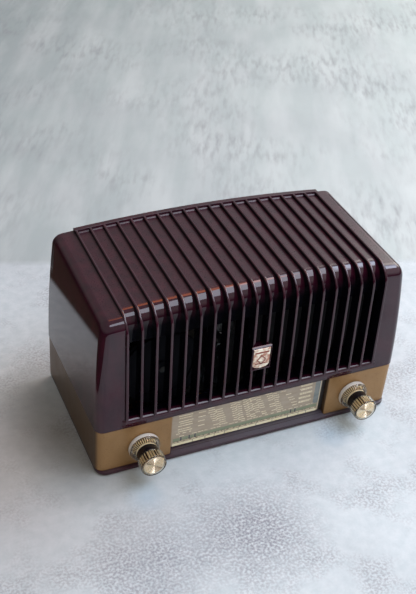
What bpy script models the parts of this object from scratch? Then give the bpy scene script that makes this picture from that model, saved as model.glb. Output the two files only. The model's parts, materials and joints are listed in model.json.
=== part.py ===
"""Tabletop valve radio: ribbed bakelite cabinet, lacquered trim bands, dial and drive, two pairs of
concentric knobs, loudspeaker, chassis with valves, and a perforated rear cover.

Metres, +Z up, the front faces -Y. Shapes are written in millimetres measured from the front face of
the trim band (y = 0) and the surface that the radio stands on (z = 0); mm() turns them into the
part's own frame, whose origin is the bottom centre of the whole box.
"""

import bmesh
import bpy
from math import cos, pi, radians, sin, sqrt
from mathutils import Vector

# Driving dimensions, in millimetres
HALF_WIDTH = 144.8  # cabinet, at its widest, above the trim band
DEPTH = 140.0  # trim band front to cabinet rear
KNOB_PROUD = 27.0  # knob faces in front of the trim band
WALL = 3.2
PLINTH_LOW, PLINTH_HIGH = 1.0, 4.5
PLINTH_PROUD = 3.0
BAND_LOW, BAND_HIGH = 4.9, 48.4
BAND_THICK = 2.0
BAND_SETBACK = 0.4  # trim band behind the cabinet's side surface
GAP = 0.3  # clearance between pieces that touch on the real radio
CORNER_RADIUS = 7.5  # upright front corners and upper side edges
FIN_ROLL = 19.0  # fins rolling from the front into the top
ROLL_Y, ROLL_Z = 20.9, 139.5  # centre of that roll
TOP_Z = 155.7  # top surface at the roll, below the crown
TOP_RISE = 2.8  # top, from the roll to the rear
POST_ROLL = 11.0  # front of an end post rolling into the top
PANEL_ROLL = 14.0  # front edge of the top panels between the fins
PANEL_Y = 11.8  # foremost line of that roll, set back behind the fins
PANEL_BEND_Z = 139.5  # the set-back wall leans in below this
CROWN = 4.4  # top, middle above the end ribs
SIDE_CURVE = 5.6  # side walls leaning in by this much near the top
FIN_COUNT = 20
FIN_PITCH = 12.5
FIN_THICK = 2.5
FIN_PROUD = 2.3  # of the posts, at the front
FIN_ON_TOP = FIN_ROLL + ROLL_Z - TOP_Z
FIN_INNER_Y = 11.0
FIN_BEND_Z = 126.0  # above this the fins' inner edge runs back to the set-back wall
RAIL_LOW, RAIL_HIGH = 52.6, 58.5
RAIL_FRONT = -2.5
GRILLE_TOP = 129.0
GRILLE_HALF = 118.4  # posts start here, inside the thickness of the end fins
RAIL_HALF = 123.5
WINDOW_HALF, WINDOW_LOW, WINDOW_HIGH = 77.4, 5.6, 47.6
FOLD_DEEP = 5.0  # the trim bands turn back into the dial window by this much
KNOB_X, KNOB_Z = 103.0, 24.5
BADGE_HALF, BADGE_LOW, BADGE_HIGH = 9.5, 82.5, 108.3
BADGE_FRONT = -4.0
INLAY_DEEP = 1.5  # recess of the badge that holds its inlay
CORD_RADIUS = 0.4
DRUM_X, DRUM_Z, DRUM_R = -82.0, 90.0, 34.0  # radii of drum, idlers and spindle are the cord's own
IDLER_R = 4.0
SPINDLE_R = 3.0
RUN_Z = 50.0  # pointer run of the drive cord
RUN_Y, RETURN_Y = 17.0, 19.2
SPEAKER_X, SPEAKER_Y, SPEAKER_Z = 68.0, 24.2, 103.0  # on the front of its baffle
DECK_Z = 42.0  # chassis deck
CHASSIS_FRONT, CHASSIS_REAR = 28.0, 122.0

FIN_SPAN = (FIN_COUNT - 1) / 2 * FIN_PITCH
ORIGIN_Y = (DEPTH - KNOB_PROUD) / 2  # middle of the whole box, knobs included


def mm(x, y, z):
    """A point in millimetres from the band front and the floor, in the part's frame in metres."""
    return Vector((x / 1000, (y - ORIGIN_Y) / 1000, z / 1000))


def clear_scene():
    for thing in list(bpy.data.objects):
        bpy.data.objects.remove(thing, do_unlink=True)


def finish_material(name, colour, roughness, metallic=0.0, transmission=0.0):
    material = bpy.data.materials.get(name) or bpy.data.materials.new(name)
    material.use_nodes = True
    shader = material.node_tree.nodes["Principled BSDF"]
    shader.inputs["Base Color"].default_value = (*colour, 1)
    shader.inputs["Roughness"].default_value = roughness
    shader.inputs["Metallic"].default_value = metallic
    shader.inputs["Transmission Weight"].default_value = transmission
    material.diffuse_color = (*colour, 1)
    return material


def bakelite():
    return finish_material("burgundy_bakelite", (0.045, 0.012, 0.018), 0.22)


def gold_lacquer():
    return finish_material("gold_brown_lacquer", (0.27, 0.16, 0.07), 0.4, 0.5)


def printed_glass():
    return finish_material("printed_dial_glass", (0.32, 0.28, 0.22), 0.15)


def clear_plastic():
    return finish_material("clear_acrylic", (0.9, 0.88, 0.82), 0.08, 0.0, 0.9)


def brass():
    return finish_material("spun_brass", (0.8, 0.6, 0.28), 0.25, 1.0)


def zinc_steel():
    return finish_material("zinc_plated_steel", (0.5, 0.5, 0.5), 0.35, 1.0)


def aluminium():
    return finish_material("drawn_aluminium", (0.7, 0.7, 0.7), 0.3, 1.0)


def black_plastic():
    return finish_material("black_phenolic", (0.012, 0.012, 0.014), 0.4)


def black_cloth():
    return finish_material("black_speaker_cloth", (0.01, 0.01, 0.01), 0.9)


def brown_board():
    return finish_material("brown_hardboard", (0.09, 0.045, 0.025), 0.75)


def paper():
    return finish_material("grey_cone_paper", (0.06, 0.055, 0.05), 0.9)


def valve_glass():
    return finish_material("valve_glass", (0.85, 0.9, 0.9), 0.03, 0.0, 0.8)


def cord_fabric():
    return finish_material("braided_drive_cord", (0.5, 0.45, 0.35), 0.8)


def foot_rubber():
    return finish_material("black_rubber", (0.02, 0.02, 0.02), 0.85)


def add_object(name, form, material, at=(0.0, 0.0, 0.0), smooth=True):
    """Makes the object; `at` is its origin in radio millimetres, and the form's points are there too."""
    origin = mm(*at)
    for vertex in form.verts:
        vertex.co -= origin
    bmesh.ops.recalc_face_normals(form, faces=form.faces)
    mesh = bpy.data.meshes.new(name)
    form.to_mesh(mesh)
    form.free()
    if smooth:
        mesh.shade_smooth()
        mesh.set_sharp_from_angle(angle=radians(32))
    thing = bpy.data.objects.new(name, mesh)
    thing.location = origin
    if material:
        mesh.materials.append(material)
    bpy.context.scene.collection.objects.link(thing)
    return thing


def as_cutter(thing):
    thing.hide_render = True
    thing.display_type = "WIRE"
    return thing


def combine(thing, operand, operation, crossing=False):
    """Adds a Boolean step; `crossing` is for an operand whose own bodies overlap each other."""
    as_cutter(operand)
    step = thing.modifiers.new(f"{operation.lower()} {operand.name}", "BOOLEAN")
    step.operation = operation
    step.solver = "EXACT"
    step.object = operand
    step.use_self = crossing
    return thing


def loft(form, rings, ladder_caps=False):
    """Joins closed rings of equal length into one capped body. Ladder caps suit a ring that goes up one
    side and comes back down the other through points at the same heights: rungs join them."""
    rows = [[form.verts.new(mm(*point)) for point in ring] for ring in rings]
    count = len(rows[0])
    for low, high in zip(rows, rows[1:]):
        for i in range(count):
            j = (i + 1) % count
            form.faces.new((low[i], low[j], high[j], high[i]))
    for row in (rows[0][::-1], rows[-1]):
        if ladder_caps:
            for i in range(count // 2 - 1):
                form.faces.new((row[i], row[i + 1], row[count - 2 - i], row[count - 1 - i]))
        else:
            form.faces.new(row)
    return form


def add_box(form, low, high):
    """A block between two corners."""
    (x0, y0, z0), (x1, y1, z1) = low, high
    base = [(x0, y0), (x1, y0), (x1, y1), (x0, y1)]
    return loft(form, [[(x, y, z0) for x, y in base], [(x, y, z1) for x, y in base]])


def box(name, low, high, material=None, at=(0.0, 0.0, 0.0)):
    return add_object(name, add_box(bmesh.new(), low, high), material, at, smooth=False)


def add_prism(form, outline, start, end, axis="X"):
    """Extrudes an outline along X (points are y, z), Y (points are x, z) or Z (points are x, y)."""
    turn = {
        "X": lambda a, b, t: (t, a, b),
        "Y": lambda a, b, t: (a, t, b),
        "Z": lambda a, b, t: (a, b, t),
    }[axis]
    return loft(form, [[turn(a, b, t) for a, b in outline] for t in (start, end)])


def prism(name, outline, start, end, axis="X", material=None, at=(0.0, 0.0, 0.0)):
    return add_object(name, add_prism(bmesh.new(), outline, start, end, axis), material, at)


def add_turned(form, outline, centre, axis="Y", segments=24):
    """A turned body. The outline is (radius, distance along the axis) pairs; a closed ring of them
    makes a hollow body, and one that starts and ends on the axis makes a solid one."""
    cx, cy, cz = centre
    rows = []
    for radius, along in outline:
        if radius == 0:
            point = (cx, cy + along, cz) if axis == "Y" else (cx, cy, cz + along)
            rows.append([form.verts.new(mm(*point))] * segments)
            continue
        row = []
        for k in range(segments):
            a = 2 * pi * k / segments
            if axis == "Y":
                point = (cx + radius * cos(a), cy + along, cz + radius * sin(a))
            else:
                point = (cx + radius * cos(a), cy + radius * sin(a), cz + along)
            row.append(form.verts.new(mm(*point)))
        rows.append(row)
    solid = outline[0][0] == 0
    pairs = list(zip(rows, rows[1:])) + ([] if solid else [(rows[-1], rows[0])])
    for low, high in pairs:
        for k in range(segments):
            n = (k + 1) % segments
            corners = [low[k], low[n], high[n], high[k]]
            form.faces.new(list(dict.fromkeys(corners)))
    return form


def turned(name, outline, centre, material=None, axis="Y", segments=24):
    form = add_turned(bmesh.new(), outline, centre, axis, segments)
    return add_object(name, form, material, centre)


def disc(radius, start, end):
    """Outline of a plain turned cylinder."""
    return [(0, start), (radius, start), (radius, end), (0, end)]


def tube(inner, outer, start, end):
    """Outline of a plain turned ring."""
    return [(inner, start), (outer, start), (outer, end), (inner, end)]


# ---------------------------------------------------------------- cabinet


def side_lean(z):
    """How far a side wall stands in from the widest point at this height."""
    return SIDE_CURVE * (max(z - 44.0, 0.0) / 106.0) ** 2


def front_line(z):
    """The cabinet's front surface at a post, leaning back as it rises."""
    return -0.3 + 4.4 * (max(z - 48.0, 0.0) / 90.0) ** 1.3


def crown(x, z):
    """What the crowned top adds to a point's height."""
    share = min(max((z - 58.0) / 98.0, 0.0), 1.1)
    return CROWN * (1 - (x / FIN_SPAN) ** 2) * share**2


def top_line(y):
    return TOP_Z + TOP_RISE * (y - ROLL_Y) / (DEPTH - ROLL_Y)


def roll(centre_y, centre_z, radius, start, steps):
    """Points of a quarter turn from facing forwards (`start` degrees up) to facing up."""
    points = []
    for step in range(steps + 1):
        a = radians(start + (90 - start) * step / steps)
        points.append((centre_y - radius * cos(a), centre_z + radius * sin(a)))
    return points


ROLL_STEPS = 6
LEDGE_Z = RAIL_HIGH - 0.5


def panel_line(z):
    """Front of the set-back wall that hangs from the top panels, leaning in a little as it drops."""
    return PANEL_Y + 0.2 + min(0.16 * max(PANEL_BEND_Z - z, 0.0), 3.5)


def post_profile(inset, low):
    """(y, z) points up the front of a post and over its roll, `inset` mm inside the surface."""
    heights = (low, 50.0, LEDGE_Z - 0.6, LEDGE_Z, 82.0, 104.0, 126.0)
    centre_y = front_line(TOP_Z - POST_ROLL) + POST_ROLL
    points = [(front_line(z) + inset, z) for z in heights]
    return points + roll(centre_y, TOP_Z - POST_ROLL, POST_ROLL - inset, 4.0, ROLL_STEPS)


def panel_profile(inset, low):
    """The same behind the fins: the low front wall, the ledge, and the set-back wall above it."""
    outer = [(front_line(z) + inset, z) for z in (low, 50.0, LEDGE_Z - 0.6)]
    inner = [(panel_line(z) + inset, z) for z in (LEDGE_Z, 82.0, 104.0, 126.0)]
    centre_y = PANEL_Y + PANEL_ROLL
    return outer + inner + roll(centre_y, TOP_Z - PANEL_ROLL, PANEL_ROLL - inset, -9.0, ROLL_STEPS)


def with_rear(points, rear, proud):
    """Closes a front profile with points at the same heights on the rear plane, top first."""
    back = [(rear, z) for y, z in points[:-1]] + [(rear, top_line(rear) + proud)]
    return points + back[::-1]


EDGE_STEPS = 4  # facets round an upright front corner


def body_ring(profile, inset, x_at):
    """One side outline of the cabinet; x_at gives its place along X at each height."""
    ring = []
    for y, z in with_rear(profile(inset, PLINTH_HIGH - 1.0), DEPTH, -inset):
        x = x_at(z)
        ring.append((x, y, z + crown(x, z)))
    return ring


def end_ring(sign, step):
    """The ring this many steps round the edge: step 0 lies on the side surface."""
    a = pi / 2 * step / EDGE_STEPS
    back = CORNER_RADIUS * (1 - cos(a))
    inset = CORNER_RADIUS * (1 - sin(a))
    return body_ring(post_profile, inset, lambda z: sign * (HALF_WIDTH - side_lean(z) - back))


def cabinet_body():
    """The outer form: side outlines set along X, drawn in towards the ends to round their edges."""
    post = GRILLE_HALF + 0.2
    rings = [end_ring(-1, step) for step in range(EDGE_STEPS + 1)]
    rings.append(body_ring(post_profile, 0.0, lambda z: -post))
    for k in range(9):
        rings.append(body_ring(panel_profile, 0.0, lambda z: GRILLE_HALF * (k / 4 - 1)))
    rings.append(body_ring(post_profile, 0.0, lambda z: post))
    rings += [end_ring(1, step) for step in range(EDGE_STEPS, -1, -1)]
    return add_object("cabinet_shell", loft(bmesh.new(), rings, True), bakelite())


def cavity_ring(front, x_at):
    low_wall = [(BAND_THICK + GAP + 2.6, z) for z in (PLINTH_HIGH + 1.5, 49.0, 53.0)]
    ring = []
    for y, z in with_rear(low_wall + front, DEPTH + 5, -WALL):
        x = x_at(z)
        ring.append((x, y, z + crown(x, z)))
    return ring


def cavity():
    """The space inside the cabinet, open at the rear; its walls are thicker behind the trim band."""
    behind_band = BAND_THICK + GAP + 3.2
    post = [(front_line(z) + WALL, z) for z in (RAIL_HIGH - 3, 92.0, 126.0)]
    post += roll(front_line(147) + POST_ROLL, TOP_Z - POST_ROLL, POST_ROLL - WALL, 4.0, 3)
    panel = [(panel_line(z) + WALL, z) for z in (RAIL_HIGH - 3, 92.0, 126.0)]
    panel += roll(PANEL_Y + PANEL_ROLL, TOP_Z - PANEL_ROLL, PANEL_ROLL - WALL, -9.0, 3)

    def side(sign):
        return lambda z: sign * (HALF_WIDTH - side_lean(z) - (behind_band if z < 50 else WALL))

    step_x = GRILLE_HALF + WALL
    rings = [cavity_ring(post, side(-1)), cavity_ring(post, lambda z: -step_x - 0.2)]
    for k in range(7):
        rings.append(cavity_ring(panel, lambda z: step_x * (k / 3 - 1)))
    rings += [cavity_ring(post, lambda z: step_x + 0.2), cavity_ring(post, side(1))]
    return add_object("cavity", loft(bmesh.new(), rings, True), None)


def fin_outline():
    """Side outline of a fin: the ridge line outside, and inside a line within the walls it joins."""
    rear = DEPTH - 3.0
    low = RAIL_LOW + 1.6
    outline = [(ridge_y(z), z) for z in (low, 74.0, 100.0, 122.0)]
    outline += roll(ROLL_Y, ROLL_Z, FIN_ROLL, 4.0, 8)
    outline += [(rear, top_line(rear) + FIN_ON_TOP), (rear, top_line(rear) - 1.6)]
    buried = PANEL_ROLL - 1.6
    outline.append((PANEL_Y + PANEL_ROLL, TOP_Z - 1.6))
    outline.append((PANEL_Y + PANEL_ROLL - 0.707 * buried, TOP_Z - PANEL_ROLL + 0.707 * buried))
    outline.append((PANEL_Y + 1.7, TOP_Z - PANEL_ROLL))
    outline += [(panel_line(GRILLE_TOP) + 1.6, GRILLE_TOP + 1.0), (FIN_INNER_Y + 1.0, FIN_BEND_Z)]
    outline += [(FIN_INNER_Y, 96.0), (FIN_INNER_Y, low)]
    return outline


def ridge_y(z):
    return front_line(z) - FIN_PROUD


def fins():
    """All the grille fins: thin upright plates that run down the front and back over the top."""
    form = bmesh.new()
    for i in range(FIN_COUNT):
        x = i * FIN_PITCH - FIN_SPAN
        ring = [(y, z + crown(x, z)) for y, z in fin_outline()]
        add_prism(form, ring, x - FIN_THICK / 2, x + FIN_THICK / 2)
    return add_object("fins", form, None)


def swept_bar(name, outline, half_length, steps):
    """A bar along X whose outline (y, z) rises with the crown."""
    rings = []
    for k in range(steps + 1):
        x = half_length * (2 * k / steps - 1)
        rings.append([(x, y, z + crown(x, z)) for y, z in outline])
    return add_object(name, loft(bmesh.new(), rings), None)


def rounded_outline(half_width, front, rear, front_radius, steps=5):
    """A plan outline with round front corners."""
    points = [(half_width, rear), (-half_width, rear)]
    for sign, start in ((-1, 0), (1, 1)):
        for step in range(steps + 1):
            a = pi / 2 * (step if sign < 0 else steps - step) / steps
            x = half_width - front_radius * (1 - cos(a))
            points.append((sign * x, front + front_radius * (1 - sin(a))))
    return points


def cabinet_shell():
    shell = cabinet_body()
    combine(shell, cavity(), "DIFFERENCE")
    grille = box("grille_opening", (-GRILLE_HALF, 8.0, 50.0), (GRILLE_HALF, 30.0, GRILLE_TOP))
    combine(shell, grille, "DIFFERENCE")
    rail = [
        (2.0, 49.6), (RAIL_FRONT + 0.6, RAIL_LOW), (RAIL_FRONT, RAIL_LOW + 0.8),
        (RAIL_FRONT, RAIL_HIGH - 1.2), (RAIL_FRONT + 0.4, RAIL_HIGH - 0.3), (RAIL_FRONT + 1.2, RAIL_HIGH),
        (9.0, RAIL_HIGH), (9.0, 55.0), (4.6, 51.0),
    ]
    combine(shell, swept_bar("rail", rail, RAIL_HALF, 1), "UNION")
    combine(shell, fins(), "UNION")
    rear_top = top_line(DEPTH)
    lip_top = rear_top + FIN_ON_TOP + 0.2
    lip = [
        (DEPTH - 5, rear_top - 1.7), (DEPTH - 5, lip_top - 0.6), (DEPTH - 4.2, lip_top),
        (DEPTH - 0.9, lip_top), (DEPTH - 0.2, lip_top - 0.7), (DEPTH - 0.2, rear_top - 1.7),
    ]
    combine(shell, swept_bar("rear_lip", lip, FIN_SPAN + FIN_THICK / 2 + 0.3, 12), "UNION")
    groove = band_groove()
    combine(shell, groove, "DIFFERENCE")
    plinth = rounded_outline(HALF_WIDTH - BAND_SETBACK - 0.2, -PLINTH_PROUD, DEPTH - 0.5, 10.0)
    combine(shell, prism("plinth", plinth, PLINTH_LOW, PLINTH_HIGH, "Z"), "UNION")
    combine(shell, cabinet_openings(), "DIFFERENCE")
    combine(shell, cover_bosses(), "UNION")
    combine(shell, foot_pockets(), "DIFFERENCE")
    return shell


def band_groove():
    """The step round the front and sides that the trim bands lie in: a wide slab with a core left."""
    inner = HALF_WIDTH - BAND_SETBACK - BAND_THICK - GAP
    form = bmesh.new()
    outline = rounded_outline(HALF_WIDTH + 10, -10, DEPTH + 10, 2.0, 1)
    add_prism(form, outline, PLINTH_HIGH - 2.5, BAND_HIGH + GAP, "Z")
    groove = add_object("band_groove", form, None)
    core = rounded_outline(inner, BAND_THICK + GAP, DEPTH + 20, CORNER_RADIUS - BAND_THICK - GAP)
    combine(groove, prism("band_core", core, -5, BAND_HIGH + 20, "Z"), "DIFFERENCE")
    return groove


def cabinet_openings():
    """The dial window and the two knob holes, in the wall behind the trim bands."""
    form = bmesh.new()
    add_box(form, (-WINDOW_HALF, -6, WINDOW_LOW), (WINDOW_HALF, 12, WINDOW_HIGH))
    for x in (-KNOB_X, KNOB_X):
        add_turned(form, disc(6.4, -6, 12), (x, 0, KNOB_Z), segments=20)
    return add_object("cabinet_openings", form, None)


COVER_SCREWS = [(sx * 124.0, z) for sx in (-1, 1) for z in (14.0, 140.0)]


def cover_bosses():
    """Four blocks inside the rear corners that take the rear cover's screws."""
    form = bmesh.new()
    for x, z in COVER_SCREWS:
        low_boss = z < 100
        reach = 18.0 if low_boss else 14.2
        outer_x = x + (reach if x > 0 else -reach)
        low_z, high_z = (PLINTH_HIGH - 0.5, z + 5) if low_boss else (z - 5, z + 8)
        low_x, high_x = sorted((x - (5.0 if x > 0 else -5.0), outer_x))
        add_box(form, (low_x, DEPTH - 16, low_z), (high_x, DEPTH - 4.4, high_z))
    bosses = add_object("cover_bosses", form, None)
    holes = bmesh.new()
    for x, z in COVER_SCREWS:
        add_turned(holes, disc(1.9, DEPTH - 14, DEPTH), (x, 0, z), segments=12)
    return combine(bosses, add_object("boss_holes", holes, None), "DIFFERENCE")


FEET = [(sx * 122.0, y) for sx in (-1, 1) for y in (16.0, 124.0)]


def foot_pockets():
    form = bmesh.new()
    for x, y in FEET:
        add_turned(form, disc(7.3, -1.0, 2.5), (x, y, 0), "Z", 20)
    return add_object("foot_pockets", form, None)


def trim_bands():
    """Left and right trim bands, from the dial window round the corner to the rear."""
    half = HALF_WIDTH - BAND_SETBACK
    for side, sign in (("left", -1), ("right", 1)):
        outer = []
        inner = []
        for step in range(7):
            a = pi / 2 * step / 6
            outer.append((half - CORNER_RADIUS * (1 - sin(a)), CORNER_RADIUS * (1 - cos(a))))
            r = CORNER_RADIUS - BAND_THICK
            inner.append((half - CORNER_RADIUS + r * sin(a), CORNER_RADIUS - r * cos(a)))
        edge = 0.7
        start = WINDOW_HALF - GAP - 0.6
        outline = [(start, BAND_THICK), (start, edge), (start + edge * 0.3, edge * 0.3), (start + edge, 0.0)]
        outline += outer + [(half, DEPTH - 0.6), (half - BAND_THICK, DEPTH - 0.6)] + inner[::-1]
        outline = [(sign * x, y) for x, y in outline]
        band = prism(f"trim_band_{side}", outline, BAND_LOW, BAND_HIGH - GAP, "Z", gold_lacquer())
        ends = sorted((sign * start, sign * (start + 0.6)))
        fold_low = (ends[0], edge, WINDOW_LOW + GAP)
        fold_high = (ends[1], FOLD_DEEP, WINDOW_HIGH - GAP)
        fold = box(f"band_fold_{side}", fold_low, fold_high)
        combine(band, fold, "UNION")
        hole = turned(f"band_hole_{side}", disc(6.4, -6, 12), (sign * KNOB_X, 0, KNOB_Z), segments=20)
        combine(band, hole, "DIFFERENCE")


def feet():
    for number, (x, y) in enumerate(FEET, 1):
        outline = [(0, 0.0), (5.6, 0.0), (6.2, 0.6), (6.8, 2.2), (0, 2.2)]
        turned(f"foot_{number}", outline, (x, y, 0), foot_rubber(), "Z", 16)


def badge():
    """The plaque on the two middle fins: a bevelled block with a plain diamond inlay."""
    low, high, half, front = BADGE_LOW, BADGE_HIGH, BADGE_HALF, BADGE_FRONT
    bevel, side_rim, foot_rim, head_rim = 1.2, 1.5, 2.2, 2.8
    outline = [(-0.1, low), (front + bevel, low), (front, low + bevel), (front, high - 2 * bevel),
               (front + bevel, high - bevel), (0.3, high)]
    form = bmesh.new()
    rings = []
    for x, inset in ((-half, bevel), (bevel - half, 0.0), (half - bevel, 0.0), (half, bevel)):
        rings.append([(x, max(y, front + inset), z) for y, z in outline])
    loft(form, rings)
    block = add_object("badge_block", form, bakelite())
    recess = box("badge_recess", (side_rim - half, front - 2, low + foot_rim),
                 (half - side_rim, front + INLAY_DEEP, high - head_rim))
    combine(block, recess, "DIFFERENCE")
    seat = bmesh.new()
    add_box(seat, (-half - 1, ridge_y(low) - GAP, low - 2), (half + 1, 3, high + 2))
    combine(block, add_object("badge_seat", seat, None), "DIFFERENCE")
    between_fins = FIN_PITCH / 2 - FIN_THICK / 2 - 1.0
    tongue = box("badge_tongue", (-between_fins, ridge_y(low) - 1.0, low + 3), (between_fins, 9.0, high - 4))
    combine(block, tongue, "UNION")
    half_w = half - side_rim - GAP
    half_h = (high - head_rim - low - foot_rim) / 2 - GAP
    badge_emblem(front + INLAY_DEEP - GAP, (low + foot_rim + high - head_rim) / 2, half_w, half_h)


def badge_emblem(back, z, half_w, half_h):
    """A cushioned plate with a raised faceted diamond."""
    rings = []
    for y, inset in ((back, 0.0), (back - 0.9, 0.0), (back - INLAY_DEEP, 1.3)):
        w, h = half_w - inset, half_h - inset
        rings.append([(-w, y, z - h), (w, y, z - h), (w, y, z + h), (-w, y, z + h)])
    plate = add_object("badge_emblem", loft(bmesh.new(), rings), brass(), smooth=False)
    rings = []
    for y, share in ((back - 0.5, 1.0), (back - 1.7, 1.0), (back - 2.3, 0.5)):
        w, h = 4.2 * share, 6.0 * share
        rings.append([(-w, y, z), (0, y, z - h), (w, y, z), (0, y, z + h)])
    diamond = add_object("diamond", loft(bmesh.new(), rings), None, smooth=False)
    combine(plate, diamond, "UNION")


# ---------------------------------------------------------------- dial and drive


def dial():
    """Printed glass, the plate behind it, and the pointer between them."""
    box("dial_glass", (-82.0, 5.4, 6.9), (82.0, 7.4, 48.0), printed_glass())
    form = bmesh.new()
    outline = [(12.0, 6.9), (12.8, 6.9), (12.8, 45.2), (14.8, 45.2), (14.8, 46.0), (12.0, 46.0)]
    add_prism(form, outline, -82.0, 82.0)
    add_object("dial_backplate", form, aluminium(), smooth=False)
    pointer = box("dial_pointer", (-0.4, 9.2, 9.0), (0.4, 10.0, 51.4), gold_lacquer())
    first = box("pointer_arm", (-2.0, 9.0, 48.0), (2.0, 16.0, 49.0))
    second = box("pointer_carriage", (-4.0, 15.2, 47.2), (4.0, 16.3, 52.6))
    combine(pointer, first, "UNION")
    combine(pointer, second, "UNION")


def cord_route():
    """The drive cord's closed loop: pointer run, left idler, drum, middle idler, spindle, right idler."""
    route = []

    def arc(centre, radius, start, end, steps, y0, y1):
        for k in range(steps + 1):
            t = k / steps
            a = radians(start + (end - start) * t)
            route.append((centre[0] + radius * cos(a), y0 + (y1 - y0) * t, centre[1] + radius * sin(a)))

    left, middle, right = idler_centres()
    arc(right, IDLER_R, 0, 90, 4, RUN_Y, RUN_Y)
    arc(left, IDLER_R, -90, -180, 4, RUN_Y, RUN_Y)
    arc((DRUM_X, DRUM_Z), DRUM_R, 180, 0, 12, RUN_Y, RETURN_Y)
    slope = spindle_slope()
    arc(middle, IDLER_R, 180, 270 + slope, 5, RETURN_Y, RETURN_Y)
    arc((KNOB_X, KNOB_Z), SPINDLE_R, -90 + slope, 360, 12, RETURN_Y, RUN_Y)
    return route


def idler_centres():
    left = (DRUM_X - DRUM_R + IDLER_R, RUN_Z + IDLER_R)
    middle = (DRUM_X + DRUM_R + IDLER_R, 44.0)
    right = (KNOB_X + SPINDLE_R - IDLER_R, RUN_Z - IDLER_R)
    return left, middle, right


def spindle_slope():
    """Direction of the cord from the middle idler down to the spindle, in degrees."""
    middle = idler_centres()[1]
    run = KNOB_X - middle[0]
    drop = (KNOB_Z - SPINDLE_R) - (middle[1] - IDLER_R)
    return drop / run * 180 / pi


def drive_cord():
    curve = bpy.data.curves.new("dial_cord", "CURVE")
    curve.dimensions = "3D"
    curve.bevel_depth = CORD_RADIUS / 1000
    curve.bevel_resolution = 2
    curve.use_fill_caps = True
    route = cord_route()
    spline = curve.splines.new("POLY")
    spline.points.add(len(route) - 1)
    for point, place in zip(spline.points, route):
        point.co = (*mm(*place), 1)
    spline.use_cyclic_u = True
    curve.materials.append(cord_fabric())
    thing = bpy.data.objects.new("dial_cord", curve)
    bpy.context.scene.collection.objects.link(thing)


def idlers():
    names = ("left", "middle", "right")
    for name, (x, z), y in zip(names, idler_centres(), (RUN_Y, RETURN_Y, RUN_Y)):
        groove, flange, bore = IDLER_R - CORD_RADIUS - GAP, IDLER_R + 0.9, 1.5
        outline = [
            (bore, y - 1.3), (flange, y - 1.3), (flange, y - 0.9), (groove, y - 0.55),
            (groove, y + 0.55), (flange, y + 0.9), (flange, y + 1.3), (bore, y + 1.3),
        ]
        turned(f"pulley_{name}", outline, (x, 0, z), brass(), segments=14)


def drive_bracket():
    """Steel plate behind the cord that carries the idler studs, the controls and the dial plate."""
    y0, y1 = 21.4, 22.6
    half, top, tab = 128, 51, (-117.5, -104)
    outline = [(-half, 12), (half, 12), (half, top), (tab[1], top), (tab[1], 60), (tab[0], 60),
               (tab[0], top), (-half, top)]
    plate = prism("drive_bracket", outline, y0, y1, "Y", zinc_steel())
    studs = bmesh.new()
    for (x, z), y in zip(idler_centres(), (RUN_Y, RETURN_Y, RUN_Y)):
        stem = [(0, y - 2.2), (1.2, y - 2.2), (1.2, y + 1.6), (2.2, y + 1.6), (2.2, y1 - 0.2), (0, y1 - 0.2)]
        add_turned(studs, stem, (x, 0, z), segments=10)
    combine(plate, add_object("studs", studs, None), "UNION")
    gaps = bmesh.new()
    add_turned(gaps, disc(4.6, y0 - 2, y1 + 2), (KNOB_X, 0, KNOB_Z), segments=16)
    add_turned(gaps, disc(12.4, y0 - 2, y1 + 2), (-KNOB_X, 0, KNOB_Z), segments=20)
    add_turned(gaps, disc(DRUM_R + 4, y0 - 2, y1 + 2), (DRUM_X, 0, DRUM_Z + 4), segments=32)
    combine(plate, add_object("bracket_gaps", gaps, None), "DIFFERENCE")


def drum_and_capacitor():
    """The drive drum on the tuning capacitor's shaft, the capacitor's frame and its rotor."""
    groove, flange = DRUM_R - CORD_RADIUS - GAP, DRUM_R + 2.0
    bore = 3.3
    outline = [
        (bore, 15.2), (8.0, 15.2), (8.0, 17.4), (groove - 6, 17.4), (groove - 6, 15.6), (flange, 15.6),
        (flange, 16.2), (groove, 16.5), (groove, 19.8), (flange, 20.1), (flange, 20.7), (8.0, 20.7),
        (8.0, 23.4), (bore, 23.4),
    ]
    turned("drive_drum", outline, (DRUM_X, 0, DRUM_Z), black_plastic(), segments=32)
    capacitor_frame()
    capacitor_rotor()


def capacitor_frame():
    """Two end plates tied by a base and carrying the fixed vanes."""
    x0, x1 = DRUM_X - 24, DRUM_X + 24
    z0, z1 = 62.0, 112.0
    frame = box("capacitor_frame", (x0, 27, z0), (x1, 29, z1), zinc_steel())
    rest = bmesh.new()
    add_box(rest, (x0, 66, z0), (x1, 68, z1))
    add_box(rest, (x0 + 1, 28, z0 + 0.5), (x1 - 1, 67, z0 + 2.5))
    add_box(rest, (x0 + 0.5, 28, z1 - 6), (x0 + 2.5, 67, z1 - 1))
    combine(frame, add_object("capacitor_sides", rest, None), "UNION", True)
    stators = bmesh.new()
    for k in range(6):
        y = 32.0 + 5.6 * k
        add_box(stators, (x0 + 2, y, z0 + 8), (DRUM_X - 5, y + 0.9, z1 - 2))
    add_box(stators, (x0 + 1.5, 31.5, z0 + 1.5), (x0 + 4, 61.5, z0 + 12))
    combine(frame, add_object("stator_vanes", stators, None), "UNION", True)
    legs = bmesh.new()
    for x in (x0 + 6, x1 - 6):
        for y in (32.0, 63.0):
            add_turned(legs, disc(3.0, DECK_Z + 1.2 + GAP, z0 + 1.5), (x, y, 0), "Z", 10)
    combine(frame, add_object("capacitor_legs", legs, None), "UNION")
    bores = add_turned(bmesh.new(), disc(3.4, 20, 75), (DRUM_X, 0, DRUM_Z), segments=16)
    combine(frame, add_object("capacitor_bores", bores, None), "DIFFERENCE")


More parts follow.
